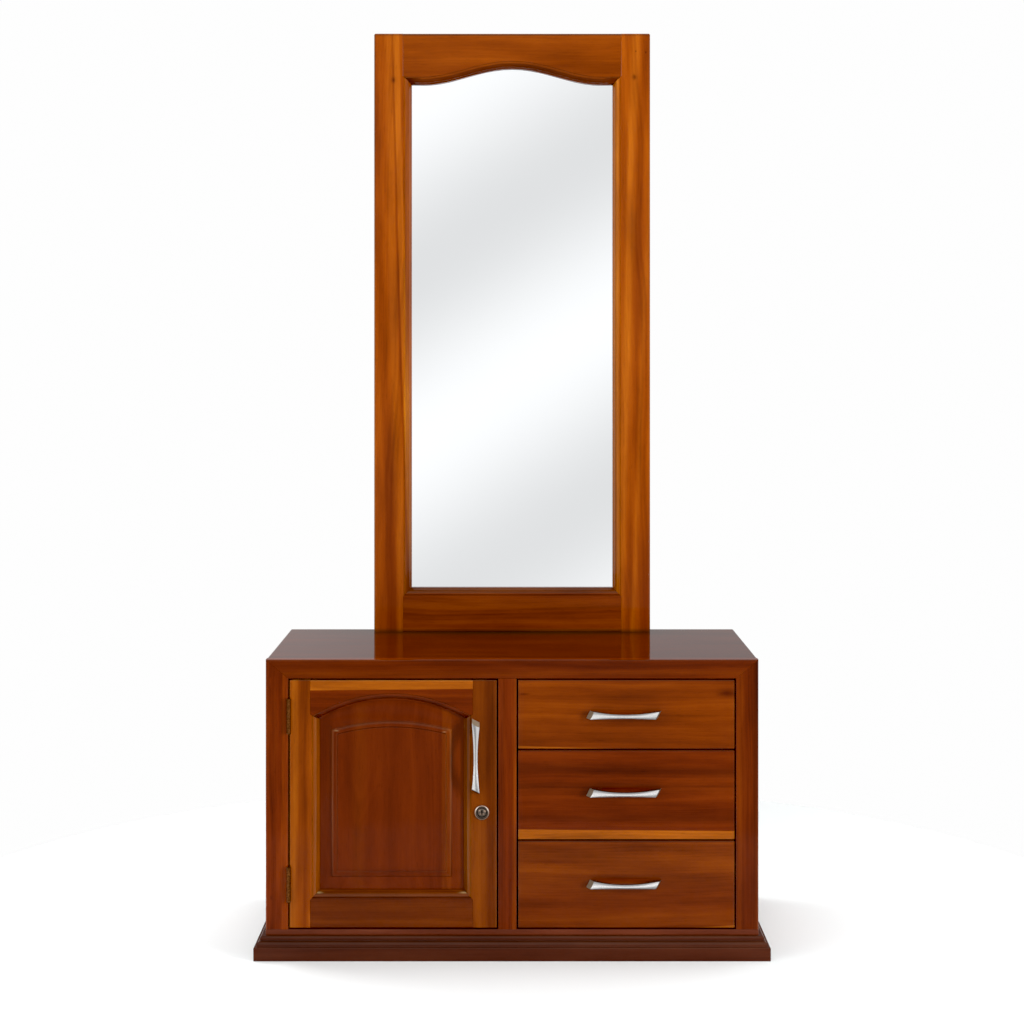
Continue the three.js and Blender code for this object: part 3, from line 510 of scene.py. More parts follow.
def tilt(tree):
    """How far a face of an edge or moulding is tilted at all, right, left, down, and steeply up."""
    x, y, z = object_normal(tree)
    squarest = abs(x).math("MAXIMUM", abs(y)).math("MAXIMUM", abs(z))
    tilted = remapped(squarest, *TILTED)
    ways = ((x, RIGHTWARDS), (x, LEFTWARDS), (z, DOWNWARDS), (z, STEEPLY_UP))
    return tilted, *(tilted * remapped(part, *limits) for part, limits in ways)


def spot(first, second, centre, half):
    """One at a centre in two directions, falling away round it over its half sizes."""
    one, two = ((value - middle) / size for value, middle, size in zip((first, second), centre, half))
    return ((one * one + two * two) * -1.0).math("EXPONENT")


def in_an_opening(tree):
    """One inside the case's skin, where its square edges face a gap."""
    x, _, z = parts(object_place(tree))
    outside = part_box("cabinet_top")[1]
    return abs(x).math("LESS_THAN", outside.x - CASE_SKIN) * z.math("LESS_THAN", outside.z - CASE_SKIN)


def grained(name, board, wood):
    """A wood material for one board, with its own rings, bands and knots, and painted light and shade on its
    edges and mouldings.
    """
    material, tree = empty_material(name)
    axes = dict(zip("XYZ", parts(object_place(tree))))
    along, across, through = (axes[axis] for axis in board.axes)
    place = node(tree, "ShaderNodeCombineXYZ", {0: along, 1: across, 2: through})
    bands = [mark for mark in board.marks if isinstance(mark, BandOrPaintedStrip)]
    knots = [mark for mark in board.marks if isinstance(mark, Knot)]
    swelling = 0.0
    bumps = []
    for knot in knots:
        centre, half = (knot.along * MM, knot.across * MM), (knot.half_along * MM, knot.half_across * MM)
        bumps.append(spot(along, across, centre, half))
        swelling = bumps[-1] * (knot.push * MM) + swelling
    streaks, patches, fibres, pores, wave = growth(place, along, board, swelling)
    value = (streaks - 0.5) * STREAK_SHARE + (patches - 0.5) * PATCH_SHARE + (fibres - 0.5) * FIBRE_SHARE
    value = value * board.contrast + 0.5
    tint = wood_tones(value, getattr(wood, board.tone), board.shade)
    for band in bands:
        bend = BAND_WAVE * min(1.0, band.soft / FULL_WAVE_SOFTNESS)
        off = abs(across - (along * band.drift + band.middle * MM + wave * bend))
        outer, inner = (band.half + band.soft) * MM, max(0.0, band.half - band.soft) * MM
        mask = remapped(off, outer, inner, 0.0, band.strength)
        tint = mixed(mask, tint, wood_tones(value, getattr(wood, band.tone), board.shade))
    for knot, bump in zip(knots, bumps):
        tint = mixed(bump * knot.strength, tint, opaque(getattr(wood, knot.tone)))
    # Painted light in the gaps: square edge faces inside the case's skin are lightened towards sapwood, so that
    # the gaps between door, drawers and frame look less dark
    if board.rim:
        square = remapped(abs(object_normal(tree)[1]), *SQUARE, 0.0, board.rim)
        tint = mixed(square * in_an_opening(tree), tint, opaque(wood.sapwood))
    eased = node(tree, "ShaderNodeAttribute", output="Fac", attribute_name=EASED)
    tilted, right, left, down, steep = tilt(tree)
    shade = pores * -PORE_SHADE + 1.0
    # Painted light and shade: eased edges and mouldings are made lighter or darker board by board, and
    # mouldings lighter where they face right, left or up and darker where they face down, as if lit
    shade = shade * (eased * (board.edge - 1.0) + 1.0)
    shade = shade * (tilted * (1.0 - eased) * (board.mould - 1.0) + 1.0)
    light = WHITE
    painted_lights = (wood.upper_glow, wood.right_glow, wood.left_glow, wood.lower_glow)
    for part, tone in zip((tilted, right, left, down), painted_lights):
        light = mixed(part, light, (*tone, 1.0))
    grain = bumped(pores * -PORE_DEPTH + fibres, *GRAIN_BUMP)
    values = {"Base Color": tint * shade * light, "Normal": grain}
    shine = gloss(fibres, *SATIN)
    if board.varnish:
        index = remapped(tilted - down - steep, 0.0, 1.0, wood.varnish_index, wood.edge_index)
        values.update({
            "Roughness": shine, "Specular IOR Level": 0.0, "Coat Weight": board.varnish,
            "Coat Roughness": wood.varnish_roughness, "Coat IOR": eased * tilted * EASED_INDEX + index,
            "Coat Normal": bumped(noise(place * RIPPLE_RATE, 3.0), *FLOW_BUMP),
        })
    else:
        values.update({"Roughness": shine + BARE_ROUGHNESS, "Specular IOR Level": 0.3})
    return finished(material, values)


# Metal and glass

BRUSH_RATE = (40.0, 700.0, 700.0)
SPOT_RATE = (420.0, 420.0, 420.0)
SMEAR_RATE = (3.0, 3.0, 5.0)

# Painted glints of the lock's ring and plug: where they lie across and up from its middle, and their half
# sizes; then how far down the painted shade keeps dimming the metal
RING_GLINTS = ((-0.0108, 0.0080, 0.0045, 0.0048), (0.0108, 0.0080, 0.0045, 0.0048))
PLUG_GLINTS = (
    (-0.0050, 0.0040, 0.0020, 0.0016), (0.0055, 0.0030, 0.0018, 0.0018), (0.0, -0.0028, 0.0045, 0.0013)
)
GLINT_REACH = 0.014
GLINT_GLOSS = (0.16, 0.26)

# Dark and light, as factors or as colours
BRUSHED_FACTORS = ((0.97,) * 3, (1.03,) * 3)
AGED_FACTORS = ((0.65, 0.62, 0.60), (1.4, 1.35, 1.25))
CUT_TONES = ((0.22, 0.17, 0.12, 1.0), (0.30, 0.235, 0.165, 1.0))
RECESS_PAINTED_SHADES = ((0.030, 0.021, 0.015, 1.0), (0.070, 0.050, 0.038, 1.0))
GLASS_TONES = ((0.922, 0.938, 0.952, 1.0), (0.942, 0.955, 0.966, 1.0))

# How strongly the brushing and the spots of the metals stand out, and how high
BRUSH_BUMP = (0.06, 0.0001)
SPOT_BUMP = (0.2, 0.0001)

# The parts of a face's normal between which painted shade darkens the metal: sideways, from below and above, at
# cut ends
SIDEWAYS = (0.05, 0.30)
BELOW, ABOVE = (-0.45, 0.05), (0.12, 0.50)
CUT_BELOW = (-0.6, -0.1)


def speckled(name, rate=SPOT_RATE, detail=3.0, roughness=0.5):
    """A new material, and the noise that its colour and gloss follow."""
    material, tree = empty_material(name)
    return material, noise(object_place(tree) * rate, detail, roughness)


def brushed_metal(name, tone, roughness, rate=BRUSH_RATE, spread=0.03, middle=1.0, painted_shade_up_and_down=1.0):
    """Metal that varies a little along fine lines; where asked, painted shade darkens the faces that do not
    look sideways, or those that look up or down.
    """
    material, lines = speckled(name, rate)
    side, _, rise = object_normal(lines.tree)
    tint = mixed(lines, *(opaque(tone, factors) for factors in BRUSHED_FACTORS))
    if middle < 1.0:
        tint = mixed(remapped(abs(side), *SIDEWAYS), opaque(tone, (middle,) * 3), tint)
    if painted_shade_up_and_down < 1.0:
        tint = tint * (remapped(rise, *BELOW, painted_shade_up_and_down, 1.0) * remapped(rise, *ABOVE, 1.0, painted_shade_up_and_down))
    return finished(material, {
        "Base Color": tint, "Metallic": 1.0, "Normal": bumped(lines, *BRUSH_BUMP),
        "Roughness": gloss(lines, roughness - spread, roughness + spread),
    })


def metal_with_painted_glints(name, tone, bright, centre, glints, low):
    """Metal round a centre, with painted glints in a few spots and painted shade dimming it towards its foot.
    """
    material, lines = speckled(name)
    x, _, z = parts(object_place(lines.tree) - tuple(centre))
    painted_foot_shade = remapped(z, -GLINT_REACH, GLINT_REACH / 2, low, 1.0) * tuple(tone)
    spots = [spot(x, z, glint[:2], glint[2:]) for glint in glints]
    shine = spots[0]
    for other in spots[1:]:
        shine = shine.math("MAXIMUM", other)
    tint = mixed(shine, painted_foot_shade, opaque(bright))
    return finished(material, {"Base Color": tint, "Metallic": 1.0, "Roughness": gloss(lines, *GLINT_GLOSS)})


def cut_end():
    """The duller metal of the pulls' sawn ends, with painted shade on faces that look down."""
    material, lines = speckled("Cut ends")
    tint = mixed(lines, *CUT_TONES) * remapped(object_normal(lines.tree)[2], *CUT_BELOW, 0.2, 1.0)
    values = {"Base Color": tint, "Metallic": 0.25, "Roughness": 0.5, "Specular IOR Level": 0.3}
    return finished(material, values)


def aged_metal(name, tone):
    """Bronze with darker spots and a duller skin in them."""
    material, spots = speckled(name, SPOT_RATE, 4.0, 0.6)
    tones = (opaque(tone, factors) for factors in AGED_FACTORS)
    return finished(material, {
        "Base Color": mixed(remapped(spots, 0.40, 0.62), *tones), "Metallic": 1.0,
        "Roughness": remapped(spots, 0.35, 0.65, 0.62, 0.36, "LINEAR"), "Normal": bumped(spots, *SPOT_BUMP),
    })


def painted_shade_recess():
    """Painted shade: the near-black floor of the lock's recess and the keyway."""
    material, spots = speckled("Lock recess")
    tint = mixed(spots, *RECESS_PAINTED_SHADES)
    return finished(material, {"Base Color": tint, "Metallic": 0.6, "Roughness": gloss(spots, 0.35, 0.5)})


def silvered_glass():
    """Mirror glass with the faintest smears."""
    material, smears = speckled("Silvered glass", SMEAR_RATE, 4.0)
    tint, rough = mixed(smears, *GLASS_TONES), remapped(smears, 0.35, 0.75, 0.0, 0.03)
    return finished(material, {"Base Color": tint, "Metallic": 1.0, "Roughness": rough})


# Meshes

WELD = 0.00001
ON_SIDE = 0.00002
FLAT_ANGLE = math.radians(0.2)
SHARP_ANGLE = math.radians(32)
SHADE_ANGLE = math.radians(40)
SMALL_STEPS = 2


def merged_copy(node_name):
    """A bmesh of a CAD node with its triangles joined and its flat faces made whole."""
    bm = bmesh.new()
    bm.from_mesh(NODES[node_name].data)
    bmesh.ops.remove_doubles(bm, verts=bm.verts, dist=WELD)
    bmesh.ops.dissolve_limit(
        bm, angle_limit=FLAT_ANGLE, verts=bm.verts, edges=bm.edges, delimit={"NORMAL"}
    )
    return bm


def sides_of(bm):
    """The planes of a mesh's own box, by the side's name."""
    low = Vector(min(v.co[i] for v in bm.verts) for i in range(3))
    high = Vector(max(v.co[i] for v in bm.verts) for i in range(3))
    return {
        "left": (0, low.x), "right": (0, high.x), "front": (1, low.y), "back": (1, high.y),
        "bottom": (2, low.z), "top": (2, high.z),
    }


def sharp_edges(bm):
    """The edges where two faces meet at a clear angle."""
    return [e for e in bm.edges if len(e.link_faces) == 2 and e.calc_face_angle(0.0) > SHARP_ANGLE]


def lies_on(edge, plane):
    """Whether an edge lies on a plane, given as an axis and a place along it."""
    axis, place = plane
    return all(abs(v.co[axis] - place) < ON_SIDE for v in edge.verts)


def arrises(bm, exposed):
    """Sharp edges that lie on two of the exposed sides of the mesh's box."""
    planes = [plane for side, plane in sides_of(bm).items() if side in exposed.split()]
    return [edge for edge in sharp_edges(bm) if sum(lies_on(edge, plane) for plane in planes) >= 2]


def sharp_along(bm, axis):
    """Sharp edges that run along one axis."""
    other = [i for i in range(3) if i != axis]
    return [
        edge for edge in sharp_edges(bm)
        if all(abs(edge.verts[0].co[i] - edge.verts[1].co[i]) < ON_SIDE for i in other)
    ]


def ease(bm, edges, radius, steps):
    """Rounds edges over, and marks the faces of the round for the wood to follow."""
    mark = bm.faces.layers.float.get(EASED) or bm.faces.layers.float.new(EASED)
    made = bmesh.ops.bevel(
        bm, geom=edges, offset=radius, offset_type="OFFSET", segments=steps, profile=0.5,
        affect="EDGES", material=-1, clamp_overlap=True,
    )
    for polygon in made["faces"]:
        polygon[mark] = 1.0


def turned(profile, centre, steps=64):
    """Spins a profile of (radius, distance to the back) into a closed round solid."""
    bm = bmesh.new()
    verts = [bm.verts.new(centre + Vector((radius, along, 0.0))) for radius, along in profile]
    edges = [bm.edges.new(pair) for pair in zip(verts, verts[1:] + verts[:1])]
    bmesh.ops.spin(
        bm, geom=verts + edges, cent=centre, axis=(0.0, 1.0, 0.0), angle=2 * math.pi, steps=steps,
        use_merge=True,
    )
    bmesh.ops.remove_doubles(bm, verts=bm.verts, dist=WELD)
    bmesh.ops.recalc_face_normals(bm, faces=bm.faces)
    return bm


def quarter(radius, along, size, start, steps=6):
    """Points of a quarter round in a profile, round its centre."""
    angles = [math.radians(start + 90 * i / steps) for i in range(steps + 1)]
    return [(radius + size * math.cos(angle), along + size * math.sin(angle)) for angle in angles]


def put(bm, outward, place):
    """Turns a bmesh that faces up so that it faces outward, and moves it to its place."""
    facing = outward.to_track_quat("Z", "Y").to_matrix()
    bmesh.ops.rotate(bm, verts=bm.verts, matrix=facing)
    bmesh.ops.translate(bm, verts=bm.verts, vec=place)
    return bm


def add_piece(name, bm, materials, like, stands_in=True):
    """Makes a mesh object in the given materials on the body of a CAD node, which it usually stands in for."""
    mesh = bpy.data.meshes.new(name)
    bm.to_mesh(mesh)
    bm.free()
    mesh.polygons.foreach_set("use_smooth", [True] * len(mesh.polygons))
    mesh.set_sharp_from_angle(angle=SHADE_ANGLE)
    for material in materials:
        mesh.materials.append(material)
    piece = bpy.data.objects.new(name, mesh)
    bpy.context.scene.collection.objects.link(piece)
    piece.modifiers.new("Even shading", "WEIGHTED_NORMAL").keep_sharp = True
    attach(piece, BODY_OF[like])
    if stands_in:
        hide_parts(like)


def add_board(name, settings, radius, exposed="", axis=None, board=None):
    """Puts an eased, grained board in the place of a CAD node."""
    bm = merged_copy(name)
    edges = arrises(bm, exposed) if axis is None else sharp_along(bm, axis)
    if edges:
        ease(bm, edges, radius, settings.edges.steps)
    material = grained(name.replace("_", " ").capitalize(), board or BOARDS[name], settings.wood)
    add_piece(f"{name}_wood", bm, [material], name)


ALL_SIDES = "left right front back bottom top"


def add_boards(settings, radius, exposed):
    """Puts in several boards, each with its own exposed sides."""
    for name, sides in exposed.items():
        add_board(name, settings, radius, sides)


class DRESSER_OT_case(Operator):
    """Builds the case: top, sides, bottom board, partition and back"""

    bl_idname = "dresser.case"
    bl_label = "Case"

    def execute(self, context):
        settings = context.scene.dresser
        add_boards(settings, settings.edges.frame, {
            "cabinet_top": "back top left right",
            "left_side_panel": "left back bottom",
            "right_side_panel": "right back bottom",
            "bottom_board": "left right front back top",
        })
        inner = {name: "front back top bottom" for name in ("centre_partition", "back_panel")}
        add_boards(settings, settings.edges.inner, inner)
        return {"FINISHED"}


class DRESSER_OT_face_frame(Operator):
    """Builds the face frame: two stiles, the top rail and the mullion"""

    bl_idname = "dresser.face_frame"
    bl_label = "Face Frame"

    def execute(self, context):
        settings = context.scene.dresser
        add_boards(settings, settings.edges.frame, {
            "frame_left_stile": "right front",
            "frame_right_stile": "left front",
            "frame_top_rail": "bottom front",
            "frame_centre_mullion": "left right front",
        })
        return {"FINISHED"}


class DRESSER_OT_plinth(Operator):
    """Builds the moulded plinth"""

    bl_idname = "dresser.plinth"
    bl_label = "Plinth"

    def execute(self, context):
        settings = context.scene.dresser
        for name, axis in (("plinth_front", 0), ("plinth_left", 1), ("plinth_right", 1)):
            add_board(name, settings, settings.edges.plinth, axis=axis)
        add_board("plinth_back", settings, settings.edges.inner, ALL_SIDES)
        return {"FINISHED"}


class DRESSER_OT_door(Operator):
    """Builds the door: stiles, arched top rail, bottom rail and raised panel"""

    bl_idname = "dresser.door"
    bl_label = "Door"

    def execute(self, context):
        settings = context.scene.dresser
        add_boards(settings, settings.edges.leaf, {
            "door_hinge_stile": "left front back bottom top",
            "door_lock_stile": "right front back bottom top",
            "door_top_rail": "front back top",
            "door_bottom_rail": "front back bottom",
        })
        self.raised_panel(settings)
        return {"FINISHED"}

    def raised_panel(self, settings):
        """Rounds the rim of the raised field."""
        bm = merged_copy("door_panel")
        front = sides_of(bm)["front"]
        rim = [edge for edge in sharp_edges(bm) if lies_on(edge, front)]
        ease(bm, rim, settings.edges.field, settings.edges.steps)
        material = grained("Door panel", BOARDS["door_panel"], settings.wood)
        add_piece("door_panel_wood", bm, [material], "door_panel")


# The pieces of a drawer's box: wood, the way its grain runs, and how deep its pith lies. Then how high
# the pith lies over the drawer's middle, and the seeds: the first, and the steps to the next drawer and piece
DRAWER_BOX = {
    "left_side": ("bare", DEEP, -0.1),
    "right_side": ("bare", DEEP, 0.5),
    "left_runner": ("case", DEEP, -0.1),
    "right_runner": ("case", DEEP, 0.5),
    "back": ("bare", FRONT, 0.3),
    "bottom": ("ply", LEVEL, -0.2),
}
PITH_RISE = 0.15
FIRST_SEED, DRAWER_STEP, PIECE_STEP = 31.0, 7, 1.3


class DRESSER_OT_drawers(Operator):
    """Builds the drawers: fronts, boxes and the runners they hang on"""

    bl_idname = "dresser.drawers"
    bl_label = "Drawers"

    def execute(self, context):
        settings = context.scene.dresser
        for index, drawer in enumerate(DRAWERS):
            front = f"{drawer}_front"
            add_board(front, settings, settings.edges.leaf, ALL_SIDES)
            pith = sum(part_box(front), Vector()).z / 2 + PITH_RISE
            seed = FIRST_SEED + DRAWER_STEP * index
            for part, (tone, axes, depth) in DRAWER_BOX.items():
                seed += PIECE_STEP
                board = Board(tone, 1.0, axes, (pith, depth), (0.01, 0.0), 50, 0.05, 0.8, seed, varnish=0.0)
                add_board(f"{drawer}_{part}", settings, settings.edges.inner, ALL_SIDES, board=board)
        return {"FINISHED"}


class DRESSER_OT_mirror(Operator):
    """Builds the mirror: its moulded frame, glass, backboard and batten"""

    bl_idname = "dresser.mirror"
    bl_label = "Mirror"

    def execute(self, context):
        settings = context.scene.dresser
        edges = settings.edges
        add_boards(settings, edges.mirror, {
            "mirror_left_stile": "left front back top",
            "mirror_right_stile": "right front back top",
            "mirror_top_rail": "front back top",
            "mirror_bottom_rail": "front back",
        })
        add_boards(settings, edges.inner, {"mirror_backboard": ALL_SIDES, "mirror_batten": ALL_SIDES})
        bm = merged_copy("mirror_glass")
        ease(bm, arrises(bm, ALL_SIDES), edges.frame, edges.steps)
        add_piece("mirror_pane", bm, [silvered_glass()], "mirror_glass")
        return {"FINISHED"}


# Fittings

PULL_CUTS = 63
CROWN_CUTS = 9
END_SHARE, END_FACING = 0.42, 0.6
UPRIGHT_PAINTED_SHADE = 0.80
BACKWARDS = Vector((0.0, 1.0, 0.0))

# A screw head: sides, the radius of its top, the width of its rim and half its slot as shares of its
# radius, the depth of the slot as a share of its height, and how the slots of a row are turned
HEAD_SIDES = 20
HEAD_TOP, HEAD_RIM, HALF_SLOT, SLOT_DEPTH = 0.82, 0.12, 0.14, 0.6
FIRST_TURN, NEXT_TURN = 0.7, 1.9


def bow_bar(pulls):
    """A bow pull along X with its back on y = 0: bowed outwards, waisted, its ends cut on a slant."""
    bm = bmesh.new()
    bmesh.ops.create_cube(bm, size=2.0)
    for axis, cuts in ((0, PULL_CUTS), (2, CROWN_CUTS)):
        runs = [e for e in bm.edges if abs(e.verts[0].co[axis] - e.verts[1].co[axis]) > 1.0]
        bmesh.ops.subdivide_edges(bm, edges=runs, cuts=cuts, use_grid_fill=True)
    for vert in bm.verts:
        run, face, height = vert.co
        reach = math.sin(math.pi / 2 * run)
        bend = reach * reach
        half = (pulls.middle_height + (pulls.end_height - pulls.middle_height) * bend) / 2
        front = pulls.projection - (pulls.projection - pulls.end_projection) * bend
        hollow = max(0.0, 1.0 - bend / (pulls.foot * pulls.foot))
        back = (pulls.projection - pulls.thickness) * math.sqrt(hollow)
        out = front - pulls.crown * height * height if face < 0.0 else back
        span = pulls.length - (pulls.length - pulls.face_length) * (out / front)
        shift = pulls.face_shift * out / front
        vert.co = (reach * span / 2 + height * half * pulls.slant * bend + shift, -out, height * half)
    bmesh.ops.remove_doubles(bm, verts=bm.verts, dist=WELD)
    bmesh.ops.recalc_face_normals(bm, faces=bm.faces)
    ease(bm, sharp_edges(bm), pulls.rounding, SMALL_STEPS)
    for polygon in bm.faces:
        at_end = abs(polygon.calc_center_median().x) > END_SHARE * pulls.length
        if at_end and abs(polygon.normal.x) > END_FACING:
            polygon.material_index = 1
    return bm


def screw(place, outward, radius, height, index):
    """A screw head with a straight slot, turned and put in its place."""
    bm = bmesh.new()
    bmesh.ops.create_cone(
        bm, cap_ends=True, segments=HEAD_SIDES, radius1=radius, radius2=radius * HEAD_TOP, depth=height
    )
    cap = max(bm.faces, key=lambda item: item.calc_center_median().z)
    bmesh.ops.inset_region(bm, faces=[cap], thickness=radius * HEAD_RIM)
    for side in (-1.0, 1.0):
        cut = bmesh.ops.bisect_plane(
            bm, geom=[cap, *cap.edges, *cap.verts], dist=WELD / 10,
            plane_co=(0.0, side * radius * HALF_SLOT, height / 2), plane_no=(0.0, 1.0, 0.0),
        )
        faces = [item for item in cut["geom"] if isinstance(item, bmesh.types.BMFace)]
        cap = min(faces, key=lambda item: abs(item.calc_center_median().y))
    slot = bmesh.ops.extrude_face_region(bm, geom=[cap])
    floor = [item for item in slot["geom"] if isinstance(item, bmesh.types.BMVert)]
    bmesh.ops.translate(bm, verts=floor, vec=(0.0, 0.0, -height * SLOT_DEPTH))
    bmesh.ops.delete(bm, geom=[cap], context="FACES_ONLY")
    bmesh.ops.rotate(bm, verts=bm.verts, matrix=Matrix.Rotation(FIRST_TURN + NEXT_TURN * index, 3, "Z"))
    return put(bm, outward, place)


def gathered(pieces):
    """Several bmeshes as one."""
    whole = bmesh.new()
    for piece in pieces:
        mesh = bpy.data.meshes.new("part")
        piece.to_mesh(mesh)
        piece.free()
        whole.from_mesh(mesh)
        bpy.data.meshes.remove(mesh)
    return whole


def add_screws(name, like, places, outward, fittings, material, flush=False, small=1.0):
    """A row of screw heads that sit on a face, or flush with it."""
    deep = fittings.screw_height
    sunk = (fittings.flush_height if flush else deep) - deep / 2
    heads = [
        screw(Vector(place) + outward * sunk, outward, fittings.screw_radius * small, deep, index)
        for index, place in enumerate(places)
    ]
    add_piece(name, gathered(heads), [material], like, stands_in=False)


class DRESSER_OT_pulls(Operator):
    """Builds the four bow pulls and the screws behind them"""

    bl_idname = "dresser.pulls"
    bl_label = "Pulls"

    def execute(self, context):
        settings = context.scene.dresser
        pulls, fittings = settings.pulls, settings.fittings
        rough = pulls.roughness
        # The upright pull is a copy of the level pulls' metal in painted shade; the level pulls get painted
        # shade on faces that look up or down, and the upright one on faces that look forward
        painted_dimmer_tone = [channel * UPRIGHT_PAINTED_SHADE for channel in pulls.metal]
        level = brushed_metal("Satin silver level", pulls.metal, rough, painted_shade_up_and_down=0.35)
        stood = brushed_metal("Satin silver upright", painted_dimmer_tone, rough, BRUSH_RATE[::-1], middle=0.45)
        ends = cut_end()
        steel = brushed_metal("Plated steel", fittings.steel, 0.34, SPOT_RATE, spread=0.08)
        for leaf in ("door", *DRAWERS):
            handle = f"{leaf}_handle"
            low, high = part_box(handle)
            upright = high.z - low.z > high.x - low.x
            step = Vector((pulls.screw_spread / 2, 0.0, 0.0))
            bm = bow_bar(pulls)
            if upright:
                step = step.zyx
                bmesh.ops.rotate(bm, verts=bm.verts, matrix=Matrix.Rotation(math.pi / 2, 3, "Y"))
            seat = Vector(((low.x + high.x) / 2, high.y, (low.z + high.z) / 2))
            bmesh.ops.translate(bm, verts=bm.verts, vec=seat)
            add_piece(f"{leaf}_bow_pull", bm, [stood if upright else level, ends], handle)
            seat.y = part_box("door_lock_stile" if leaf == "door" else f"{leaf}_front")[1].y
            places = [seat - step, seat + step]
            add_screws(f"{leaf}_pull_screws", handle, places, BACKWARDS, fittings, steel)
        return {"FINISHED"}


# The lock: clearance round the plug, the bezel's lip, how far its floor lies behind it and its flange in
# front of the panel, the barrel's radius, and half the keyway's width and height and its least depth
PLUG_CLEARANCE = 0.0003
LIP = 0.0013
FLOOR_DEPTH = 0.0018
FLANGE_STEP = 0.003
BARREL_RADIUS = 0.0105
KEYWAY_WIDE, KEYWAY_HIGH, KEYWAY_DEEP = 0.0012, 0.0045, 0.004
PLUG_EASE, CAM_EASE, HINGE_EASE = 0.0003, 0.0004, 0.00025


class DRESSER_OT_lock(Operator):
    """Builds the cam lock: bezel and barrel, plug with its keyway, and cam"""

    bl_idname = "dresser.lock"
    bl_label = "Lock"

    def execute(self, context):
        fittings = context.scene.dresser.fittings
        low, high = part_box("lock_body")
        centre = Vector(((low.x + high.x) / 2, 0.0, (low.z + high.z) / 2))
        # Painted glints on the ring and the plug, and painted shade towards their foot; the plug's glints take
        # the chrome colour
        chrome = metal_with_painted_glints("Polished ring", fittings.chrome, fittings.glint, centre, RING_GLINTS, 0.4)
        plug_with_painted_glints = metal_with_painted_glints("Worn plug face", fittings.plug, fittings.chrome, centre, PLUG_GLINTS, 0.6)
        # The recess floor and the keyway take near-black painted shade
        recess = painted_shade_recess()
        self.bezel(centre, low.y, high.y, (high.x - low.x) / 2, [chrome, recess])
        self.plug(centre, low.y, [plug_with_painted_glints, recess])
        self.cam(fittings, chrome)
        return {"FINISHED"}

    def bezel(self, centre, front, back, radius, metals):
        """The ring round the plug and the barrel through the door."""
        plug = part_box("lock_cylinder")
        bore = (plug[1].x - plug[0].x) / 2 + PLUG_CLEARANCE
        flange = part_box("door_panel")[0].y - FLANGE_STEP
        floor = front + FLOOR_DEPTH
        bm = turned([
            (bore, floor),
            (radius - 2 * LIP, floor),
            *quarter(radius - LIP, front + LIP, LIP, 180),
            *quarter(radius - LIP, front + LIP, LIP, 270)[1:],
            (radius, flange),
            (BARREL_RADIUS, flange),
            (BARREL_RADIUS, back),
            (bore, back),
        ], centre)
        for polygon in bm.faces:
            middle = polygon.calc_center_median()
            spread = math.hypot(middle.x - centre.x, middle.z - centre.z)
            if spread < radius - 2 * LIP and middle.y < floor + LIP / 2:
                polygon.material_index = 1
        add_piece("lock_bezel", bm, metals, "lock_body")

    def plug(self, centre, front, metals):
        """The plug with its face and the keyway."""
        bm = merged_copy("lock_cylinder")
        ease(bm, sharp_edges(bm), PLUG_EASE, SMALL_STEPS)
        for polygon in bm.faces:
            off = polygon.calc_center_median() - centre
            inside = abs(off.x) < KEYWAY_WIDE and abs(off.z) < KEYWAY_HIGH
            if inside and off.y > front + KEYWAY_DEEP:
                polygon.material_index = 1
        add_piece("lock_plug_face", bm, metals, "lock_cylinder")

    def cam(self, fittings, chrome):
        """The cam and the screw that holds it."""
        bm = merged_copy("lock_cam")
        ease(bm, sharp_edges(bm), CAM_EASE, SMALL_STEPS)
        add_piece("lock_cam_plate", bm, [chrome], "lock_cam")
        low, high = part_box("lock_cam")
        axis = ((low.x + high.x) / 2, high.y, high.z - (high.x - low.x) / 2)
        add_screws("lock_cam_screw", "lock_cam", [axis], BACKWARDS, fittings, chrome, small=1.3)


# The staggered screws of a hinge leaf: the depth of the first behind the door's front and how far forward
# the middle one stands, then the first one's height and their spacing as shares of the leaf's height
SCREW_DEPTH, STAGGER = 0.0125, 0.004
SCREW_START, SCREW_SPACING = 0.18, 0.32


class DRESSER_OT_hinges(Operator):
    """Builds the butt hinges and their screws"""

    bl_idname = "dresser.hinges"
    bl_label = "Hinges"

    def execute(self, context):
        fittings = context.scene.dresser.fittings
        bronze = aged_metal("Aged bronze", fittings.bronze)
        for hinge in ("upper_hinge", "lower_hinge"):
            for part in ("frame_leaf", "door_leaf", "pin"):
                name = f"{hinge}_{part}"
                bm = merged_copy(name)
                ease(bm, sharp_edges(bm), HINGE_EASE, SMALL_STEPS)
                add_piece(f"{name}_metal", bm, [bronze], name)
            for leaf, outward, inner in (("frame_leaf", 1.0, max), ("door_leaf", -1.0, min)):
                self.leaf_screws(f"{hinge}_{leaf}", Vector((outward, 0.0, 0.0)), inner, fittings, bronze)
        return {"FINISHED"}

    def leaf_screws(self, name, outward, inner, fittings, bronze):
        """Three countersunk screws in a staggered row on a leaf's inner face, away from its knuckle."""
        low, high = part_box(name)
        side = inner(v.co.x for v in NODES[name].data.vertices if v.co.y > high.y - ON_SIDE)
        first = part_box("door_hinge_stile")[0].y + SCREW_DEPTH
        places = []
        for index in range(3):
            height = low.z + (high.z - low.z) * (SCREW_START + SCREW_SPACING * index)
            places.append((side, first - STAGGER * (index % 2), height))
        add_screws(f"{name}_screws", name, places, outward, fittings, bronze, flush=True, small=0.8)


# Where the batten's screws stand across it, how far the back panel's screws stand in from its edge, and
# the pins of the backboard: radius, length, how far they stand off it and how deep they are driven in
BATTEN_SHARES = (0.08, 0.36, 0.64, 0.92)
PANEL_INSET = 0.012
PIN_RADIUS, PIN_LENGTH, PIN_STAND, PIN_DRIVEN = 0.0007, 0.012, 0.0008, 0.001


def spaced(low, high, count):
    """The ends and the even steps between them."""
    return [low + (high - low) * i / count for i in range(count + 1)]


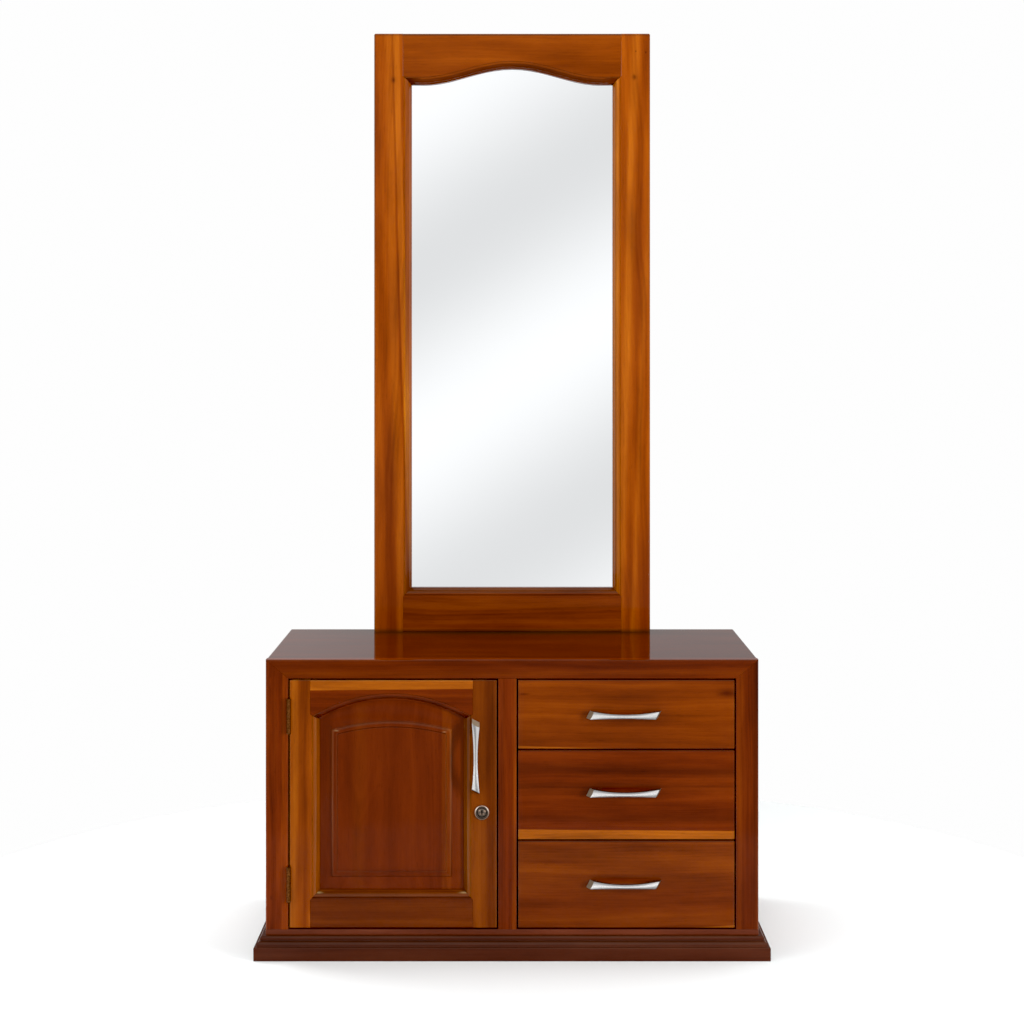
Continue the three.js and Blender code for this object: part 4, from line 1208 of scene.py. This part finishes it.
class DRESSER_OT_fixings(Operator):
    """Adds the screws of the batten and the back panel, and the pins of the mirror's backboard"""

    bl_idname = "dresser.fixings"
    bl_label = "Fixings"

    def execute(self, context):
        fittings = context.scene.dresser.fittings
        steel = brushed_metal("Fixing steel", fittings.steel, 0.36, SPOT_RATE, spread=0.08)
        low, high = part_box("mirror_batten")
        case_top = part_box("cabinet_top")[1].z
        across = [low.x + (high.x - low.x) * part for part in BATTEN_SHARES]
        rows = ((low.z + case_top) / 2, (high.z + case_top) / 2)
        places = [(x, high.y - fittings.flush_height, z) for x in across for z in rows]
        sunk = {"outward": BACKWARDS, "fittings": fittings, "material": steel, "flush": True}
        add_screws("batten_screws", "mirror_batten", places, small=1.2, **sunk)
        low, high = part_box("back_panel")
        level = spaced(low.x + PANEL_INSET, high.x - PANEL_INSET, 6)
        upright = spaced(low.z + PANEL_INSET, high.z - PANEL_INSET, 4)
        places = [(x, high.y, z) for x in level for z in (upright[0], upright[-1])]
        places += [(x, high.y, z) for x in (level[0], level[-1]) for z in upright[1:-1]]
        add_screws("back_panel_screws", "back_panel", places, small=0.8, **sunk)
        self.glazing_pins(steel)
        return {"FINISHED"}

    def glazing_pins(self, steel):
        """Slim pins driven into the rebate behind the backboard."""
        low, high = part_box("mirror_backboard")
        rows, columns = spaced(low.z, high.z, 6)[1:-1], spaced(low.x, high.x, 4)[1:-1]
        places = [(x, z, (turn, 0.0, 0.0)) for x, turn in ((low.x, 1.0), (high.x, -1.0)) for z in rows]
        places += [(x, z, (0.0, 0.0, turn)) for x in columns for z, turn in ((low.z, 1.0), (high.z, -1.0))]
        pins = [self.pin(Vector((x, high.y + PIN_STAND, z)), Vector(inward)) for x, z, inward in places]
        add_piece("glazing_pins", gathered(pins), [steel], "mirror_backboard", stands_in=False)

    def pin(self, place, inward):
        """One pin, driven in so that most of it lies over the backboard."""
        bm = bmesh.new()
        bmesh.ops.create_cone(
            bm, cap_ends=True, segments=8, radius1=PIN_RADIUS, radius2=PIN_RADIUS, depth=PIN_LENGTH
        )
        ease(bm, sharp_edges(bm), PIN_RADIUS * 0.3, 1)
        return put(bm, inward, place + inward * (PIN_LENGTH / 2 - PIN_DRIVEN))


# Stage

BLACK_LEVEL = 0.007
CAMERA_SHIFT = (-0.00066, -0.1469)
BACKDROP = (0.99, 0.99, 0.99, 1.0)
FLOOR_SIDES = 96
FLOOR_RATE = (4.0, 4.0, 4.0)
FLOOR_MOTTLE = (0.985,) * 3

# How bright the studio is in front and behind, the share of it that falls on dull surfaces, and the
# lighter ceiling and left corner that only reflections show
FRONT_WALL, BACK_WALL = 0.94, 0.46
FILL_SHARE = 0.48
CEILING_GLOW = 0.25
LEFT_GLOW = 0.075

# Between which parts of a direction the wall, the ceiling, the left and back of that corner, and the
# bands in the mirror set in
WALL_SPAN, CEILING_SPAN = (-0.7, 0.5), (0.25, 0.95)
LEFT_SPAN, BEHIND_SPAN = (-0.04, -0.12), (0.6, 0.9)
MIRRORED_SPAN = (-0.97, -0.99)

# The slanting bands that the mirror reflects: how they lean, how close they lie, where they start and
# how bright they are
BAND_LEAN, BAND_RATE, BAND_START, BAND_GLOW = 0.65, 34.5, 5.95, 0.135

# Each lamp's place, the point it faces, its width and height, and its power in watts
LAMPS = {
    "Overhead softbox": ((0.0, 0.1, 3.3), (0.0, -0.1, 0.0), 2.4, 1.8, 66),
    "Front softbox": ((0.0, -3.4, 1.8), (0.0, 0.0, 0.6), 0.9, 0.6, 19),
    "Right strip": ((2.6, -1.95, 0.8), (-0.1, -0.2, 0.6), 0.4, 1.6, 92),
    "Left softbox": ((-2.6, -2.0, 1.6), (0.0, -0.1, 0.6), 1.6, 1.8, 18),
    "Left floor lamp": ((-1.35, 0.55, 1.3), (-0.95, 0.15, 0.0), 0.7, 0.7, 14),
    "Right floor lamp": ((1.35, 0.55, 1.3), (0.95, 0.15, 0.0), 0.7, 0.7, 4),
}


class DRESSER_OT_stage(Operator):
    """Sets the pale floor, the studio light and the camera"""

    bl_idname = "dresser.stage"
    bl_label = "Stage"

    def execute(self, context):
        scene = context.scene
        self.floor(scene.dresser.studio)
        self.surroundings(scene)
        for name, lamp in LAMPS.items():
            self.softbox(name, *lamp)
        self.camera(scene, scene.dresser.studio)
        grade = scene.view_settings
        grade.view_transform = "Standard"
        grade.use_curve_mapping = True
        grade.curve_mapping.black_level = (BLACK_LEVEL,) * 3
        grade.curve_mapping.update()
        return {"FINISHED"}

    def floor(self, studio):
        """A pale disc with the faintest mottle."""
        material, mottle = speckled("Pale floor", FLOOR_RATE)
        tint = mixed(mottle, opaque(studio.floor_tone, FLOOR_MOTTLE), opaque(studio.floor_tone))
        finished(material, {"Base Color": tint, "Roughness": 0.9, "Specular IOR Level": 0.0})
        bm = bmesh.new()
        bmesh.ops.create_circle(bm, cap_ends=True, segments=FLOOR_SIDES, radius=studio.floor_radius)
        mesh = bpy.data.meshes.new("Studio floor")
        bm.to_mesh(mesh)
        bm.free()
        mesh.materials.append(material)
        floor = bpy.data.objects.new("Studio floor", mesh)
        bpy.context.scene.collection.objects.link(floor)

    def surroundings(self, scene):
        """White behind everything for the camera, and a soft studio for light and reflections."""
        scene.world = bpy.data.worlds.new("Soft studio")
        scene.world.use_nodes = True
        tree = scene.world.node_tree
        tree.nodes.clear()
        x, y, z = parts(node(tree, "ShaderNodeTexCoord", output="Generated"))
        dull = node(tree, "ShaderNodeLightPath", output="Is Diffuse Ray")
        seen = node(tree, "ShaderNodeLightPath", output="Is Camera Ray")
        shining = 1.0 - dull
        wall = remapped(y, *WALL_SPAN, FRONT_WALL, BACK_WALL)
        wall = wall + remapped(z, *CEILING_SPAN, 0.0, CEILING_GLOW) * shining
        wall = wall + remapped(x, *LEFT_SPAN, 0.0, LEFT_GLOW) * shining * remapped(y, *BEHIND_SPAN)
        bands = ((x * BAND_LEAN - z) * BAND_RATE + BAND_START).math("COSINE")
        wall = wall + bands * remapped(y, *MIRRORED_SPAN) * BAND_GLOW
        fill = dull * (FILL_SHARE - 1.0) + 1.0
        light = node(tree, "ShaderNodeBackground", {"Color": WHITE, "Strength": wall * fill})
        backdrop = node(tree, "ShaderNodeBackground", {"Color": BACKDROP, "Strength": 1.0})
        both = node(tree, "ShaderNodeMixShader", {0: seen, 1: light, 2: backdrop})
        node(tree, "ShaderNodeOutputWorld", {"Surface": both})

    def softbox(self, name, place, aim, width, height, watts):
        """A large rectangular lamp that faces a point and is kept out of reflections."""
        data = bpy.data.lights.new(name, "AREA")
        data.shape = "RECTANGLE"
        data.size, data.size_y = width, height
        data.energy = watts
        lamp = bpy.data.objects.new(name, data)
        lamp.location = place
        lamp.rotation_euler = (Vector(aim) - Vector(place)).to_track_quat("-Z", "Y").to_euler()
        lamp.visible_camera = False
        lamp.visible_glossy = False
        bpy.context.scene.collection.objects.link(lamp)

    def camera(self, scene, studio):
        """A level camera in front of the case."""
        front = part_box("door_hinge_stile")[0].y
        data = bpy.data.cameras.new("Camera")
        data.lens = studio.lens
        data.shift_x, data.shift_y = CAMERA_SHIFT
        camera = bpy.data.objects.new("Camera", data)
        camera.location = (studio.eye_side, front - studio.camera_distance, studio.eye_height)
        camera.rotation_euler = (math.pi / 2, 0.0, 0.0)
        scene.collection.objects.link(camera)
        scene.camera = camera


OPERATORS = (
    DRESSER_OT_case,
    DRESSER_OT_face_frame,
    DRESSER_OT_plinth,
    DRESSER_OT_door,
    DRESSER_OT_drawers,
    DRESSER_OT_mirror,
    DRESSER_OT_pulls,
    DRESSER_OT_lock,
    DRESSER_OT_hinges,
    DRESSER_OT_fixings,
    DRESSER_OT_stage,
)


class DRESSER_PT_sidebar(Panel):
    """Lists the steps that dress the dresser"""

    bl_idname = "DRESSER_PT_sidebar"
    bl_label = "Dresser with Mirror"
    bl_space_type = "VIEW_3D"
    bl_region_type = "UI"
    bl_category = "Dresser"

    def draw(self, context):
        for operator in OPERATORS:
            self.layout.operator(operator.bl_idname)
        settings = context.scene.dresser
        for group in (settings.wood, settings.edges, settings.pulls, settings.fittings, settings.studio):
            box = self.layout.box()
            for name in group.bl_rna.properties.keys():
                if name not in ("rna_type", "name"):
                    box.prop(group, name)


CLASSES = (
    DresserWood,
    DresserEdges,
    DresserPulls,
    DresserFittings,
    DresserStudio,
    DresserSettings,
    *OPERATORS,
    DRESSER_PT_sidebar,
)


def register():
    for item in CLASSES:
        bpy.utils.register_class(item)
    bpy.types.Scene.dresser = PointerProperty(type=DresserSettings)


def unregister():
    del bpy.types.Scene.dresser
    for item in reversed(CLASSES):
        bpy.utils.unregister_class(item)


def main():
    register()
    for operator in OPERATORS:
        group, name = operator.bl_idname.split(".")
        getattr(getattr(bpy.ops, group), name)()


if __name__ == "__main__":
    main()
